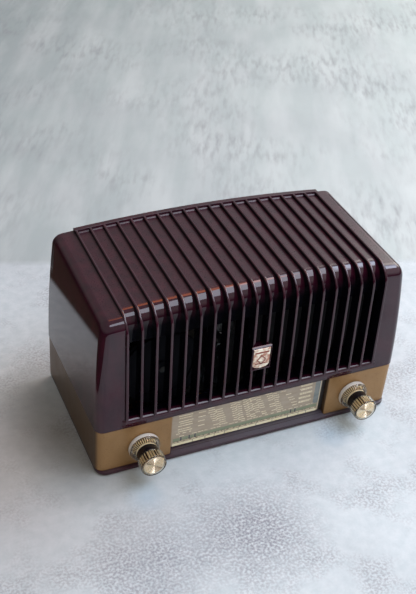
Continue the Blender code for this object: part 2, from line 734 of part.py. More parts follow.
def capacitor_rotor():
    """Shaft with half-round vanes that swing between the fixed ones."""
    shaft = turned("capacitor_rotor", disc(3.0, 15.0, 69.0), (DRUM_X, 0, DRUM_Z), aluminium(), segments=16)
    vanes = bmesh.new()
    for k in range(5):
        y = 34.8 + 5.6 * k
        outline = []
        for step in range(9):
            a = radians(-90 + 180 * step / 8)
            outline.append((DRUM_X + 17.0 * cos(a), DRUM_Z + 17.0 * sin(a)))
        half_round = outline + [(DRUM_X - 2.0, DRUM_Z + 17.0), (DRUM_X - 2.0, DRUM_Z - 17.0)]
        add_prism(vanes, half_round, y, y + 0.9, "Y")
    combine(shaft, add_object("rotor_vanes", vanes, None), "UNION")


def concentric_pair(side, sign, inner, outer):
    """Front knob with disc and collar on a spindle, and the ring knob on its sleeve behind it."""
    centre = (sign * KNOB_X, 0, KNOB_Z)
    knob = [
        (3.2, -26.0), (9.4, -26.0), (9.4, -KNOB_PROUD), (10.8, -KNOB_PROUD), (11.5, -26.4),
        (11.5, -17.8), (3.2, -17.8),
    ]
    turned(f"{inner}_knob", knob, centre, clear_plastic(), segments=28)
    turned(f"{inner}_knob_disc", disc(9.1, -26.9, -26.3), centre, brass(), segments=28)
    turned(f"{inner}_collar", tube(3.3, 9.5, -17.5, -9.6), centre, black_plastic(), segments=28)
    spindle = [(0, -26.0), (3.0, -26.0), (3.0, 15.6)]
    if inner == "tuning":
        neck = SPINDLE_R - CORD_RADIUS - GAP
        spindle += [(neck, 15.9), (neck, 20.4), (3.0, 20.7), (3.0, 30.0), (0, 30.0)]
    else:
        spindle += [(3.0, 18.0), (0, 18.0)]
    turned(f"{inner}_spindle", spindle, centre, zinc_steel(), segments=16)
    ring = [
        (5.3, -7.6), (12.4, -7.6), (13.4, -6.8), (13.9, -5.4), (13.9, -1.6), (13.0, -0.6), (5.3, -0.6),
    ]
    turned(f"{outer}_ring", ring, centre, clear_plastic(), segments=28)
    sleeve = [(3.4, -8.9), (8.6, -8.9), (8.6, -7.9), (5.0, -7.9), (5.0, 11.2), (3.4, 11.2)]
    turned(f"{outer}_sleeve", sleeve, centre, brass(), segments=20)


def controls():
    concentric_pair("left", -1, "volume", "tone")
    concentric_pair("right", 1, "tuning", "waveband")
    left, right = (-KNOB_X, 0, KNOB_Z), (KNOB_X, 0, KNOB_Z)
    body = [(5.3, 8.0), (12.0, 8.0), (12.0, 13.5), (3.4, 13.5), (3.4, 11.5), (5.3, 11.5)]
    turned("tone_control", body, left, brown_board(), segments=18)
    turned("waveband_switch", body, right, brown_board(), segments=18)
    can = [(0, 26.0), (11.5, 26.0), (11.5, 14.0), (3.3, 14.0), (3.3, 18.4), (0, 18.4)]
    turned("volume_control", can, left, zinc_steel(), segments=24)


# ---------------------------------------------------------------- loudspeaker


def loudspeaker():
    """Baffle, cloth, basket, cone, magnet and output transformer behind the right-hand slots."""
    centre = (SPEAKER_X, SPEAKER_Y, SPEAKER_Z)
    baffle = box("speaker_baffle", (6.0, SPEAKER_Y, 63.0), (128.0, SPEAKER_Y + 3.0, 147.0), black_plastic())
    hole = turned("baffle_hole", disc(43.0, -5, 10), centre, segments=32)
    combine(baffle, hole, "DIFFERENCE")
    box("speaker_cloth", (7.0, SPEAKER_Y - 1.1, 64.0), (127.0, SPEAKER_Y - GAP, 146.0), black_cloth())
    basket = [
        (41.8, 3.4), (49.0, 3.4), (49.0, 5.0), (46.0, 5.6), (24.0, 27.0), (15.0, 27.0),
        (15.0, 25.6), (23.2, 25.6), (42.6, 6.6), (41.8, 5.0),
    ]
    turned("speaker_basket", basket, centre, zinc_steel(), segments=28)
    cone = [
        (0, 16.6), (7.0, 18.4), (11.0, 20.8), (38.0, 4.6), (40.8, 4.4), (40.6, 5.4), (38.0, 6.4),
        (10.0, 23.4), (8.0, 23.0), (6.5, 21.0), (0, 20.0),
    ]
    turned("speaker_cone", cone, centre, paper(), segments=28)
    magnet = [(0, 27.4), (21, 27.4), (23, 29.0), (23, 45.0), (21, 47.0), (0, 47.0)]
    turned("speaker_magnet", magnet, centre, zinc_steel(), segments=28)
    low = DECK_Z + 1.2 + GAP
    box("output_transformer", (SPEAKER_X + 26, 76, low), (SPEAKER_X + 54, 108, 80), zinc_steel())


# ---------------------------------------------------------------- chassis


VALVES = {
    "frequency_changer_valve": (-22.0, 43.0, 9.5, 52.0),
    "detector_valve": (-34.0, 98.0, 9.5, 50.0),
    "output_valve": (4.0, 98.0, 11.0, 58.0),
    "rectifier_valve": (38.0, 100.0, 10.5, 56.0),
}


def chassis():
    """Folded steel tray: deck and two aprons, standing on the cabinet floor."""
    form = bmesh.new()
    x0, x1 = -128.0, 128.0
    z0, z1 = PLINTH_HIGH + 1.5 + GAP, DECK_Z + 1.2
    y0, y1 = CHASSIS_FRONT, CHASSIS_REAR
    outline = [
        (y0, z0), (y0 + 1.2, z0), (y0 + 1.2, DECK_Z), (y1 - 1.2, DECK_Z), (y1 - 1.2, z0), (y1, z0),
        (y1, z1), (y0, z1),
    ]
    add_prism(form, outline, x0, x1)
    tray = add_object("chassis", form, zinc_steel(), smooth=False)
    holes = bmesh.new()
    add_turned(holes, disc(3.4, y0 - 4, y0 + 4), (KNOB_X, 0, KNOB_Z), segments=16)
    combine(tray, add_object("chassis_holes", holes, None), "DIFFERENCE")


def valves():
    """Glass valves standing on the deck, each with its base as one piece."""
    base = DECK_Z + 1.2 + GAP
    for name, (x, y, r, height) in VALVES.items():
        outline = [(0, 0), (r + 1.2, 0), (r + 1.2, 9.0), (r, 9.6), (r, height - 8)]
        for step in range(1, 4):
            a = pi / 2 * step / 4
            outline.append((r * cos(a), height - 8 + 6.5 * sin(a)))
        outline += [(1.6, height - 1.2), (1.0, height + 1.6), (0, height + 2.0)]
        lifted = [(radius, along + base) for radius, along in outline]
        turned(name, lifted, (x, y, 0), valve_glass(), "Z", 18)


def deck_pieces():
    base = DECK_Z + 1.2 + GAP
    for number, (x, y) in enumerate(((-62.0, 98.0), (-4.0, 67.0)), 1):
        half = 9.5
        box(f"if_can_{number}", (x - half, y - half, base), (x + half, y + half, base + 46), aluminium())
    outline = [(0, base), (12.5, base), (12.5, base + 50), (11.5, base + 52), (0, base + 52)]
    turned("smoothing_capacitor", outline, (-98.0, 100.0, 0), aluminium(), "Z", 20)
    for side, x in (("left", -62.0), ("right", 62.0)):
        bulb = [
            (0, 16.0), (3.6, 16.0), (3.6, 6.0), (5.4, 3.0), (4.6, -0.6), (2.4, -2.0), (0, -2.2),
        ]
        shifted = [(r, along + 35.0) for r, along in bulb[::-1]]
        turned(f"dial_lamp_{side}", shifted, (x, 0, 24.0), valve_glass(), segments=14)


# ---------------------------------------------------------------- rear


CABLE_OUTLET = (96.0, 22.0, 5.0)  # x, z and radius of the hole in the rear cover


def rear_cover():
    """Hardboard panel inside the rear rim, with rows of vent slots, the cable outlet and sockets."""
    y0, y1 = DEPTH - 4.0, DEPTH - 1.2
    outline = []
    inset = WALL + 0.6
    lean = [(z, HALF_WIDTH - side_lean(z) - inset) for z in (52.0, 80.0, 106.0, 130.0)]
    low = PLINTH_HIGH + 1.5 + 0.4
    narrow = HALF_WIDTH - BAND_THICK - GAP * 2 - 2.6 - 1.5
    outline += [(-narrow, low), (narrow, low), (narrow, 48.0)]
    outline += [(w, z) for z, w in lean]
    for k in range(9):
        x = 131.0 - 262.0 * k / 8
        z = top_line(DEPTH) - WALL - 0.7
        outline.append((x, z + crown(x, z)))
    outline += [(-w, z) for z, w in lean[::-1]] + [(-narrow, 48.0)]
    cover = prism("rear_cover", outline, y0, y1, "Y", brown_board())
    vents = bmesh.new()
    for row in range(5):
        for column in range(9):
            x = (column - 4) * 24.0
            z = 64.0 + row * 15.0
            add_box(vents, (x - 8.0, y0 - 2, z - 2.4), (x + 8.0, y1 + 2, z + 2.4))
    x, z, r = CABLE_OUTLET
    add_turned(vents, disc(r, y0 - 2, y1 + 2), (x, 0, z), segments=20)
    add_box(vents, (-60.0, y0 - 2, 17.0), (-20.0, y1 + 2, 31.0))
    for x, z in COVER_SCREWS:
        add_turned(vents, disc(2.3, y0 - 2, y1 + 2), (x, 0, z), segments=12)
    combine(cover, add_object("cover_holes", vents, None), "DIFFERENCE")
    for number, (x, z) in enumerate(COVER_SCREWS, 1):
        y = y1 + GAP
        outline = [(0, y - 12), (1.5, y - 12), (1.5, y), (3.8, y), (3.4, y + 0.7), (0, y + 0.9)]
        turned(f"rear_screw_{number}", outline, (x, 0, z), zinc_steel(), segments=12)


def aerial_sockets():
    """Strip with the aerial and earth sockets, on the chassis apron behind the cover's cutout."""
    strip = box("aerial_socket_strip", (-58.0, CHASSIS_REAR + GAP, 18.5), (-22.0, 128.0, 29.5),
                black_plastic())
    holes = bmesh.new()
    for k in range(3):
        add_turned(holes, disc(2.1, 124, 140), (-52.0 + 12.0 * k, 0, 24.0), segments=12)
    combine(strip, add_object("socket_holes", holes, None), "DIFFERENCE")


def build():
    clear_scene()
    cabinet_shell()
    trim_bands()
    feet()
    badge()
    dial()
    drive_cord()
    idlers()
    drive_bracket()
    drum_and_capacitor()
    controls()
    loudspeaker()
    chassis()
    valves()
    deck_pieces()
    rear_cover()
    aerial_sockets()


build()
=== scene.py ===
import json
import random
from math import cos, pi, radians, sin

import bmesh
import bpy
from mathutils import Matrix, Vector


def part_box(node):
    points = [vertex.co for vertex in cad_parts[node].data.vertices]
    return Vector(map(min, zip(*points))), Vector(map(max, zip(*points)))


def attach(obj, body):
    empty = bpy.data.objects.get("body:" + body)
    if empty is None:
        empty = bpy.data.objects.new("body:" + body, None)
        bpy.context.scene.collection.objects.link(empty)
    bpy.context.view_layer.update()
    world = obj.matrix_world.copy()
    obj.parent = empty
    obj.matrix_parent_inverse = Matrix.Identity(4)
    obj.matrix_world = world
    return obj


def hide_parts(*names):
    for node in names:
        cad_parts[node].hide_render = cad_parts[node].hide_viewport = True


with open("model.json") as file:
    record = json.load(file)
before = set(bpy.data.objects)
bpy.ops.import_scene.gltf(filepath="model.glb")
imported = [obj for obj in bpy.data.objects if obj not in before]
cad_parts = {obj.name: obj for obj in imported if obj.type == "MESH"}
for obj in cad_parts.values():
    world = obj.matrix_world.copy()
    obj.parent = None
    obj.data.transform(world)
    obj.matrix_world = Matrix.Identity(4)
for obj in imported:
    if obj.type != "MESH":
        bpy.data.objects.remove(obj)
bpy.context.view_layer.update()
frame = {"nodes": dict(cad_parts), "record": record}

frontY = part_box("trim_band_left")[0].y  # front face of the trim band: y = 0 in the millimetre sizes below
case = "cabinet"


def at(x, y, z):  # millimetres from the trim band's front and the table top, in the frame's metres
    return Vector((x / 1000, frontY + y / 1000, z / 1000))


# Making and joining meshes


def makePiece(name, form, finish, body=case, stands=(), slot=None, soft=32):
    bmesh.ops.recalc_face_normals(form, faces=form.faces)
    mesh = bpy.data.meshes.new(name)
    form.to_mesh(mesh)
    form.free()
    piece = bpy.data.objects.new(name, mesh)
    bpy.context.scene.collection.objects.link(piece)
    for material in finish if isinstance(finish, list) else [finish] if finish else []:
        mesh.materials.append(material)
    if soft:
        mesh.shade_smooth()
        mesh.set_sharp_from_angle(angle=radians(soft))
    if body:
        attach(piece, body)
    if stands:
        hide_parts(*stands)
    return piece


def applyModifiers(piece):  # the evaluated mesh takes the place of the piece's own
    depsgraph = bpy.context.evaluated_depsgraph_get()
    made = bpy.data.meshes.new_from_object(piece.evaluated_get(depsgraph))
    made.name = piece.name
    piece.modifiers.clear()
    piece.data = made
    return piece


def carve(piece, tools, operation="DIFFERENCE"):  # one Boolean after another, then the tools are thrown away
    for tool in tools:
        step = piece.modifiers.new(operation, "BOOLEAN")
        step.operation, step.solver, step.object = operation, "EXACT", tool
        applyModifiers(piece)
        bpy.data.objects.remove(tool, do_unlink=True)
    return piece


def mergeFlat(piece):  # the Booleans' slivers join the flat faces that they belong to
    form = bmesh.new()
    form.from_mesh(piece.data)
    bmesh.ops.remove_doubles(form, verts=form.verts, dist=5e-6)
    bmesh.ops.dissolve_limit(form, angle_limit=radians(0.4), verts=form.verts, edges=form.edges)
    form.to_mesh(piece.data)
    form.free()


def softenEdges(piece, width, segments=2, sharper=40):  # width in mm
    bevel = piece.modifiers.new("rounded edges", "BEVEL")
    bevel.width, bevel.segments, bevel.limit_method = width / 1000, segments, "ANGLE"
    bevel.angle_limit = radians(sharper)
    bevel.use_clamp_overlap = True
    flatter = piece.modifiers.new("flat faces stay flat", "WEIGHTED_NORMAL")
    flatter.keep_sharp = True
    return piece


def loft(form, rings, ladder=False):  # closed rings of equal length; ladder caps join points of equal height
    rows = [[form.verts.new(at(*point)) for point in ring] for ring in rings]
    count = len(rows[0])
    for low, high in zip(rows, rows[1:]):
        for i in range(count):
            j = (i + 1) % count
            form.faces.new((low[i], low[j], high[j], high[i]))
    for row in (rows[0][::-1], rows[-1]):
        if ladder:
            for i in range(count // 2 - 1):
                form.faces.new((row[i], row[i + 1], row[count - 2 - i], row[count - 1 - i]))
        else:
            form.faces.new(row)
    return form


def addBlock(form, low, high):
    (x0, y0, z0), (x1, y1, z1) = low, high
    base = [(x0, y0), (x1, y0), (x1, y1), (x0, y1)]
    return loft(form, [[(x, y, z0) for x, y in base], [(x, y, z1) for x, y in base]])


def addPrism(form, outline, start, end, axis):
    turn = {
        "X": lambda a, b, t: (t, a, b),
        "Y": lambda a, b, t: (a, t, b),
        "Z": lambda a, b, t: (a, b, t),
    }[axis]
    return loft(form, [[turn(a, b, t) for a, b in outline] for t in (start, end)])


def roundCorners(points, radius, steps=3, closed=True):  # arcs in place of an outline's corners
    made = []
    count = len(points)
    for i, point in enumerate(points):
        corner = Vector(point)
        if not closed and i in (0, count - 1):
            made.append(tuple(corner))
            continue
        before = Vector(points[i - 1]) - corner
        after = Vector(points[(i + 1) % count]) - corner
        bend = before.angle(after, pi)
        if bend > radians(150):
            made.append(tuple(corner))
            continue
        reach = min(radius / max(sin(bend / 2) / cos(bend / 2), 0.2), before.length * 0.45,
                    after.length * 0.45)
        start, end = corner + before.normalized() * reach, corner + after.normalized() * reach
        for step in range(steps + 1):
            t = step / steps
            made.append(tuple(start * (1 - t) ** 2 + corner * 2 * t * (1 - t) + end * t * t))
    return made


def addTurned(form, outline, centre, axis="Y", segments=64, flute=None, pick=None):
    # The outline is (radius, distance along the axis); flute(angle, radius, along) may change the radius, and
    # pick(turn, radius) gives each face its material, turn being 0 to 1 round the axis.
    cx, cy, cz = centre
    rows = []
    for radius, along in outline:
        if radius == 0:
            point = (cx, cy + along, cz) if axis == "Y" else (cx, cy, cz + along)
            rows.append([form.verts.new(at(*point))] * segments)
            continue
        row = []
        for k in range(segments):
            a = 2 * pi * k / segments
            r = flute(a, radius, along) if flute else radius
            if axis == "Y":
                row.append(form.verts.new(at(cx + r * cos(a), cy + along, cz + r * sin(a))))
            else:
                row.append(form.verts.new(at(cx + r * cos(a), cy + r * sin(a), cz + along)))
        rows.append(row)
    ends = list(zip(range(len(rows)), range(1, len(rows)))) + (
        [] if outline[0][0] == 0 else [(len(rows) - 1, 0)])
    for first, second in ends:
        low, high = rows[first], rows[second]
        for k in range(segments):
            n = (k + 1) % segments
            face = form.faces.new(list(dict.fromkeys([low[k], low[n], high[n], high[k]])))
            if pick:
                face.material_index = pick((k + 0.5) / segments, min(outline[first][0], outline[second][0]))
    return form


def disc(radius, start, end):
    return [(0, start), (radius, start), (radius, end), (0, end)]


# Materials


def linear(hexColour):
    parts = [int(hexColour[i:i + 2], 16) / 255 for i in (1, 3, 5)]
    return (*[c / 12.92 if c <= 0.04045 else ((c + 0.055) / 1.055) ** 2.4 for c in parts], 1)


def connect(tree, node, links):  # a source is a socket, or a node whose first output in use is meant
    for key, source in links.items():
        if isinstance(source, bpy.types.Node):
            source = next(output for output in source.outputs if output.enabled)
        tree.links.new(source, node.inputs[key])


def addNode(tree, kind, settings=None, links=None):  # settings are attributes or inputs, with colours as hex
    node = tree.nodes.new("ShaderNode" + kind)
    for key, value in (settings or {}).items():
        if isinstance(key, str) and hasattr(node, key):
            setattr(node, key, value)
        else:
            node.inputs[key].default_value = linear(value) if isinstance(value, str) else value
    connect(tree, node, links or {})
    return node


def startMaterial(name, colour, roughness, metallic=0.0, **more):
    made = bpy.data.materials.new(name)
    made.use_nodes = True
    tree = made.node_tree
    shader = tree.nodes["Principled BSDF"]
    shader.inputs["Base Color"].default_value = linear(colour)
    shader.inputs["Roughness"].default_value = roughness
    shader.inputs["Metallic"].default_value = metallic
    for key, value in more.items():
        shader.inputs[key.replace("_", " ")].default_value = value
    made.diffuse_color = linear(colour)
    place = addNode(tree, "TexCoord").outputs["Object"]
    return made, tree, shader, place


def mottle(tree, place, grainMm, first, second, detail=4.0, fade=(0.3, 0.7), stretch=None):
    # Two colours that run into each other, in grains grainMm across. It gives the colour and its noise.
    if stretch:
        place = addNode(tree, "Mapping", {"Scale": stretch}, {"Vector": place})
    tone = addNode(tree, "TexNoise", {"Scale": 1000 / grainMm, "Detail": detail}, {"Vector": place})
    share = addNode(tree, "MapRange", {1: fade[0], 2: fade[1]}, {0: tone})
    return addNode(tree, "Mix", {"data_type": "RGBA", 6: first, 7: second}, {0: share}), tone


paintedShadeAndWear = {
    # Each mask is the product of its fades. A fade runs from nothing at its first value to full at its
    # second: metres from the middle (x), the bands' front (y) and the table (z), or how far a face looks
    # along x or z.
    # The masks for flanks, wall and foot lay painted shade between and behind the fins; ledge lays dust with
    # a painted reflection; top and rear only dull the gloss.
    "shadedFlanks": [("lookX", -0.80, -0.97), ("x", -0.131, -0.129), ("z", 0.049, 0.052)],
    "wall": [("y", 0.0065, 0.0085), ("x", -0.1195, -0.1185), ("x", 0.1195, 0.1185),
             ("z", 0.049, 0.052), ("z", 0.1515, 0.1400)],
    "foot": [("y", 0.0012, 0.0030), ("x", -0.131, -0.129), ("z", 0.049, 0.052), ("z", 0.066, 0.064)],
    "ledge": [("lookZ", 0.90, 0.99), ("z", 0.0085, 0.0070)],
    "top": [("lookZ", 0.95, 0.995), ("z", 0.120, 0.130)],
    "rear": [("y", 0.1325, 0.1335), ("z", 0.120, 0.130)],
}


def paintedShadeAndWearMasks(tree, spot):
    normal = addNode(tree, "NewGeometry").outputs["Normal"]
    look = addNode(tree, "SeparateXYZ", None, {"Vector": normal}).outputs
    measures = {"x": spot["X"], "y": spot["Y"], "z": spot["Z"], "lookX": look["X"], "lookZ": look["Z"]}
    masks = {}
    for name, fades in paintedShadeAndWear.items():
        for way, start, end in fades:
            shift = frontY if way == "y" else 0.0
            fade = addNode(tree, "MapRange", {1: start + shift, 2: end + shift}, {0: measures[way]})
            if name in masks:
                fade = addNode(tree, "Math", {"operation": "MULTIPLY"}, {0: masks[name], 1: fade})
            masks[name] = fade
    return masks


def phenolicMoulded():
    # Oxblood phenolic (bakelite) from a polished mould: deep wine red under a hard gloss, with faint flow
    # mottling. The top is duller, where years of dust and wiping have dragged over it, and dust lies on the
    # ledge before the dial, its blue-grey partly a painted reflection. Between the fins the flanks and the
    # wall that runs down behind them are painted nearly black and less glossy: painted shade.
    made, tree, shader, place = startMaterial("phenolic_moulded_oxblood", "#2a0c1b", 0.1, IOR=1.55)
    body, flow = mottle(tree, place, 9.0, "#260a19", "#35101f", 4.0, (0.35, 0.68), (1.0, 1.0, 0.45))
    dust = addNode(tree, "TexNoise", {"Scale": 1000 / 1.1, "Detail": 5.0}, {"Vector": place})
    spot = addNode(tree, "SeparateXYZ", None, {"Vector": place}).outputs
    masks = paintedShadeAndWearMasks(tree, spot)
    # painted shade: the fins' flanks, the wall behind them and their feet are painted near black
    paintedShade = masks["shadedFlanks"]
    for name in ("wall", "foot"):
        paintedShade = addNode(tree, "Math", {"operation": "MAXIMUM"}, {0: paintedShade, 1: masks[name]})
    # Dust on the ledge, thinner to the left; its blue-grey colour is partly a painted reflection of the
    # floor.
    toMiddle = addNode(tree, "MapRange", {1: -0.09, 2: 0.0, 3: 0.25, 4: 1.0}, {0: spot["X"]})
    ledge = addNode(tree, "Math", {"operation": "MULTIPLY"}, {0: masks["ledge"], 1: toMiddle})
    thick = addNode(tree, "MapRange", {1: 0.25, 2: 0.6, 3: 0.6, 4: 0.85}, {0: dust})
    lying = addNode(tree, "Math", {"operation": "MULTIPLY"}, {0: ledge, 1: thick})
    dustAndPaintedSheen = addNode(tree, "Mix", {"data_type": "RGBA", 7: "#504d57"}, {0: lying, 6: body})
    wiped = addNode(tree, "MapRange", {1: 0.3, 2: 0.7, 3: 0.6, 4: 1.0}, {0: dust})
    dull = addNode(tree, "Math", {"operation": "MULTIPLY"}, {0: masks["top"], 1: wiped})
    for other in (ledge, masks["rear"]):
        dull = addNode(tree, "Math", {"operation": "MAXIMUM"}, {0: dull, 1: other})
    # the painted shade turns the colour near black and takes away most of the gloss
    connect(tree, shader, {
        "Base Color": addNode(tree, "Mix", {"data_type": "RGBA", 7: "#06060d"}, {0: paintedShade, 6: dustAndPaintedSheen}),
        "Specular IOR Level": addNode(tree, "MapRange", {3: 0.5, 4: 0.12}, {0: paintedShade}),
        "Roughness": addNode(tree, "MapRange", {3: 0.05, 4: 0.38}, {0: dull}),
        "Normal": addNode(tree, "Bump", {"Strength": 0.25, "Distance": 0.02 / 1000}, {"Height": dust}),
    })
    return made


def lacquerOnSheet():
    # Gold-brown lacquer stoved on steel sheet: warm, satin, a metallic pigment that brightens at the bends,
    # clouded by handling, with small specks. Faces that look to the left are darkened: painted shade.
    made, tree, shader, place = startMaterial("lacquer_stoved_gold_brown", "#94714a", 0.42, 0.4)
    body, cloud = mottle(tree, place, 24.0, "#8a6a43", "#a4825a", 3.0, stretch=(1.0, 1.0, 0.5))
    grit = addNode(tree, "TexNoise", {"Scale": 1000 / 1.0, "Detail": 4.0}, {"Vector": place})
    shown = addNode(tree, "MapRange", {1: 0.6, 2: 0.7, 4: 0.5}, {0: grit})
    specks = addNode(tree, "Mix", {"data_type": "RGBA", 7: "#6a4a2c"}, {0: shown, 6: body})
    normal = addNode(tree, "NewGeometry").outputs["Normal"]
    look = addNode(tree, "SeparateXYZ", None, {"Vector": normal}).outputs
    # painted shade: faces that look to the left are darkened
    shadedLeftSide = addNode(tree, "MapRange", {1: -0.75, 2: -0.98, 4: 0.72}, {0: look["X"]})
    grain = addNode(tree, "TexNoise", {"Scale": 1000 / 0.6, "Detail": 4.0}, {"Vector": place})
    connect(tree, shader, {
        "Base Color": addNode(tree, "Mix", {"data_type": "RGBA", 7: "#2a1e1a"}, {0: shadedLeftSide, 6: specks}),
        "Roughness": addNode(tree, "MapRange", {1: 0.3, 2: 0.7, 3: 0.33, 4: 0.46}, {0: cloud}),
        "Normal": addNode(tree, "Bump", {"Strength": 0.4, "Distance": 0.02 / 1000}, {"Height": grain}),
    })
    return made


def lacquerBehindGlass(name, colour, second):
    # Silk-screened lacquer on the back of window glass: flat soft colour, under the glass's own hard shine.
    made, tree, shader, place = startMaterial(name, colour, 0.55, Coat_Weight=0.8, Coat_Roughness=0.05)
    body, tone = mottle(tree, place, 5.0, colour, second, 5.0, stretch=(0.5, 1.0, 1.6))
    connect(tree, shader, {"Base Color": body})
    return made


def clearAcrylic():
    # Cast acrylic, turned and flame-polished: water clear, faintly straw with age.
    made, tree, shader, place = startMaterial(
        "acrylic_turned_clear", "#fbf6e8", 0.02, IOR=1.49, Transmission_Weight=1.0)
    haze = addNode(tree, "TexNoise", {"Scale": 1000 / 2.0, "Detail": 3.0}, {"Vector": place})
    connect(tree, shader, {"Roughness": addNode(tree, "MapRange", {1: 0.35, 2: 0.7, 4: 0.03}, {0: haze})})
    return made


def rimHighlightAcrylic():
    # The same acrylic on the rim, given a frosted white so that it shows a white crescent: a painted
    # highlight.
    made, tree, shader, place = startMaterial(
        "acrylic_rim_frosted_painted_highlight", "#f2eee8", 0.4, IOR=1.49, Transmission_Weight=0.35)
    body, tone = mottle(tree, place, 1.2, "#e2ddd6", "#f6f3ee")
    ground = addNode(tree, "Bump", {"Strength": 0.5, "Distance": 0.08 / 1000}, {"Height": tone})
    connect(tree, shader, {"Base Color": body, "Normal": ground})
    return made


def turnedBrass(name, colour, second, roughness, centre=None, metallic=1.0):
    # Thin brass, spun or knurled and lacquered: pale gold, rosier in the middle of a spun disc, where the
    # tool's rings spread each highlight into a fan. Where lacquer fills the knurls it is less metallic.
    made, tree, shader, place = startMaterial(name, colour, roughness, metallic)
    body, tone = mottle(tree, place, 1.6, colour, second, 3.0)
    if centre:
        away = addNode(tree, "VectorMath", {"operation": "DISTANCE", 1: centre}, {0: place}).outputs["Value"]
        rosy = addNode(tree, "MapRange", {1: 0.001, 2: 0.0065, 3: 0.85, 4: 0.0}, {0: away})
        body = addNode(tree, "Mix", {"data_type": "RGBA", 7: "#dc9a58"}, {0: rosy, 6: body})
        shader.inputs["Anisotropic"].default_value = 0.6
        tangent = addNode(tree, "Tangent", {"direction_type": "RADIAL", "axis": "Y"})
        connect(tree, shader, {"Tangent": tangent})
    connect(tree, shader, {"Base Color": body})
    return made


def plainMetal(name, colour, second, roughness, grainMm, stretch=(1.0, 1.0, 1.0)):
    made, tree, shader, place = startMaterial(name, colour, roughness, 1.0)
    body, tone = mottle(tree, place, grainMm, colour, second, stretch=stretch)
    uneven = {1: 0.3, 2: 0.7, 3: roughness - 0.06, 4: roughness + 0.08}
    connect(tree, shader, {"Base Color": body, "Roughness": addNode(tree, "MapRange", uneven, {0: tone})})
    return made


def dullSolid(name, colour, second, roughness, grainMm, depthMm, **more):
    made, tree, shader, place = startMaterial(name, colour, roughness, 0.0, **more)
    body, tone = mottle(tree, place, grainMm, colour, second)
    fine = addNode(tree, "TexNoise", {"Scale": 1000 / (grainMm * 0.4), "Detail": 3.0}, {"Vector": place})
    rough = addNode(tree, "Bump", {"Strength": 0.6, "Distance": depthMm / 1000}, {"Height": fine})
    connect(tree, shader, {"Base Color": body, "Normal": rough})
    return made


def wovenCloth(name, colour, second, threadMm):
    # Plain weave: two sets of threads, one over the other, that rise and sink by half a thread.
    made, tree, shader, place = startMaterial(name, colour, 0.9)
    heights = []
    for direction in ("X", "Z"):
        settings = {"wave_type": "BANDS", "bands_direction": direction, "Scale": 1000 / threadMm / 20}
        heights.append(addNode(tree, "TexWave", settings, {"Vector": place}).outputs["Fac"])
    threads = addNode(tree, "Math", {"operation": "MULTIPLY"}, dict(enumerate(heights)))
    connect(tree, shader, {
        "Base Color": addNode(tree, "Mix", {"data_type": "RGBA", 6: colour, 7: second}, {0: threads}),
        "Normal": addNode(tree, "Bump", {"Strength": 0.8, "Distance": 0.15 / 1000}, {"Height": threads}),
    })
    return made


patches = {
    # grit in front of the radio: x, y, radius that is full, radius where it ends (metres)
    "grit": [(-0.040, -0.158, 0.015, 0.065), (-0.125, -0.155, 0.0, 0.065)],
    "blue": [(-0.113, -0.093), (0.075, -0.078)],  # x and y of the blue light under the knobs
    "shade": [(-0.160, 0.055, 0.45), (-0.158, 0.005, 0.62), (-0.150, -0.045, 0.5)],  # x, y, how dark
}


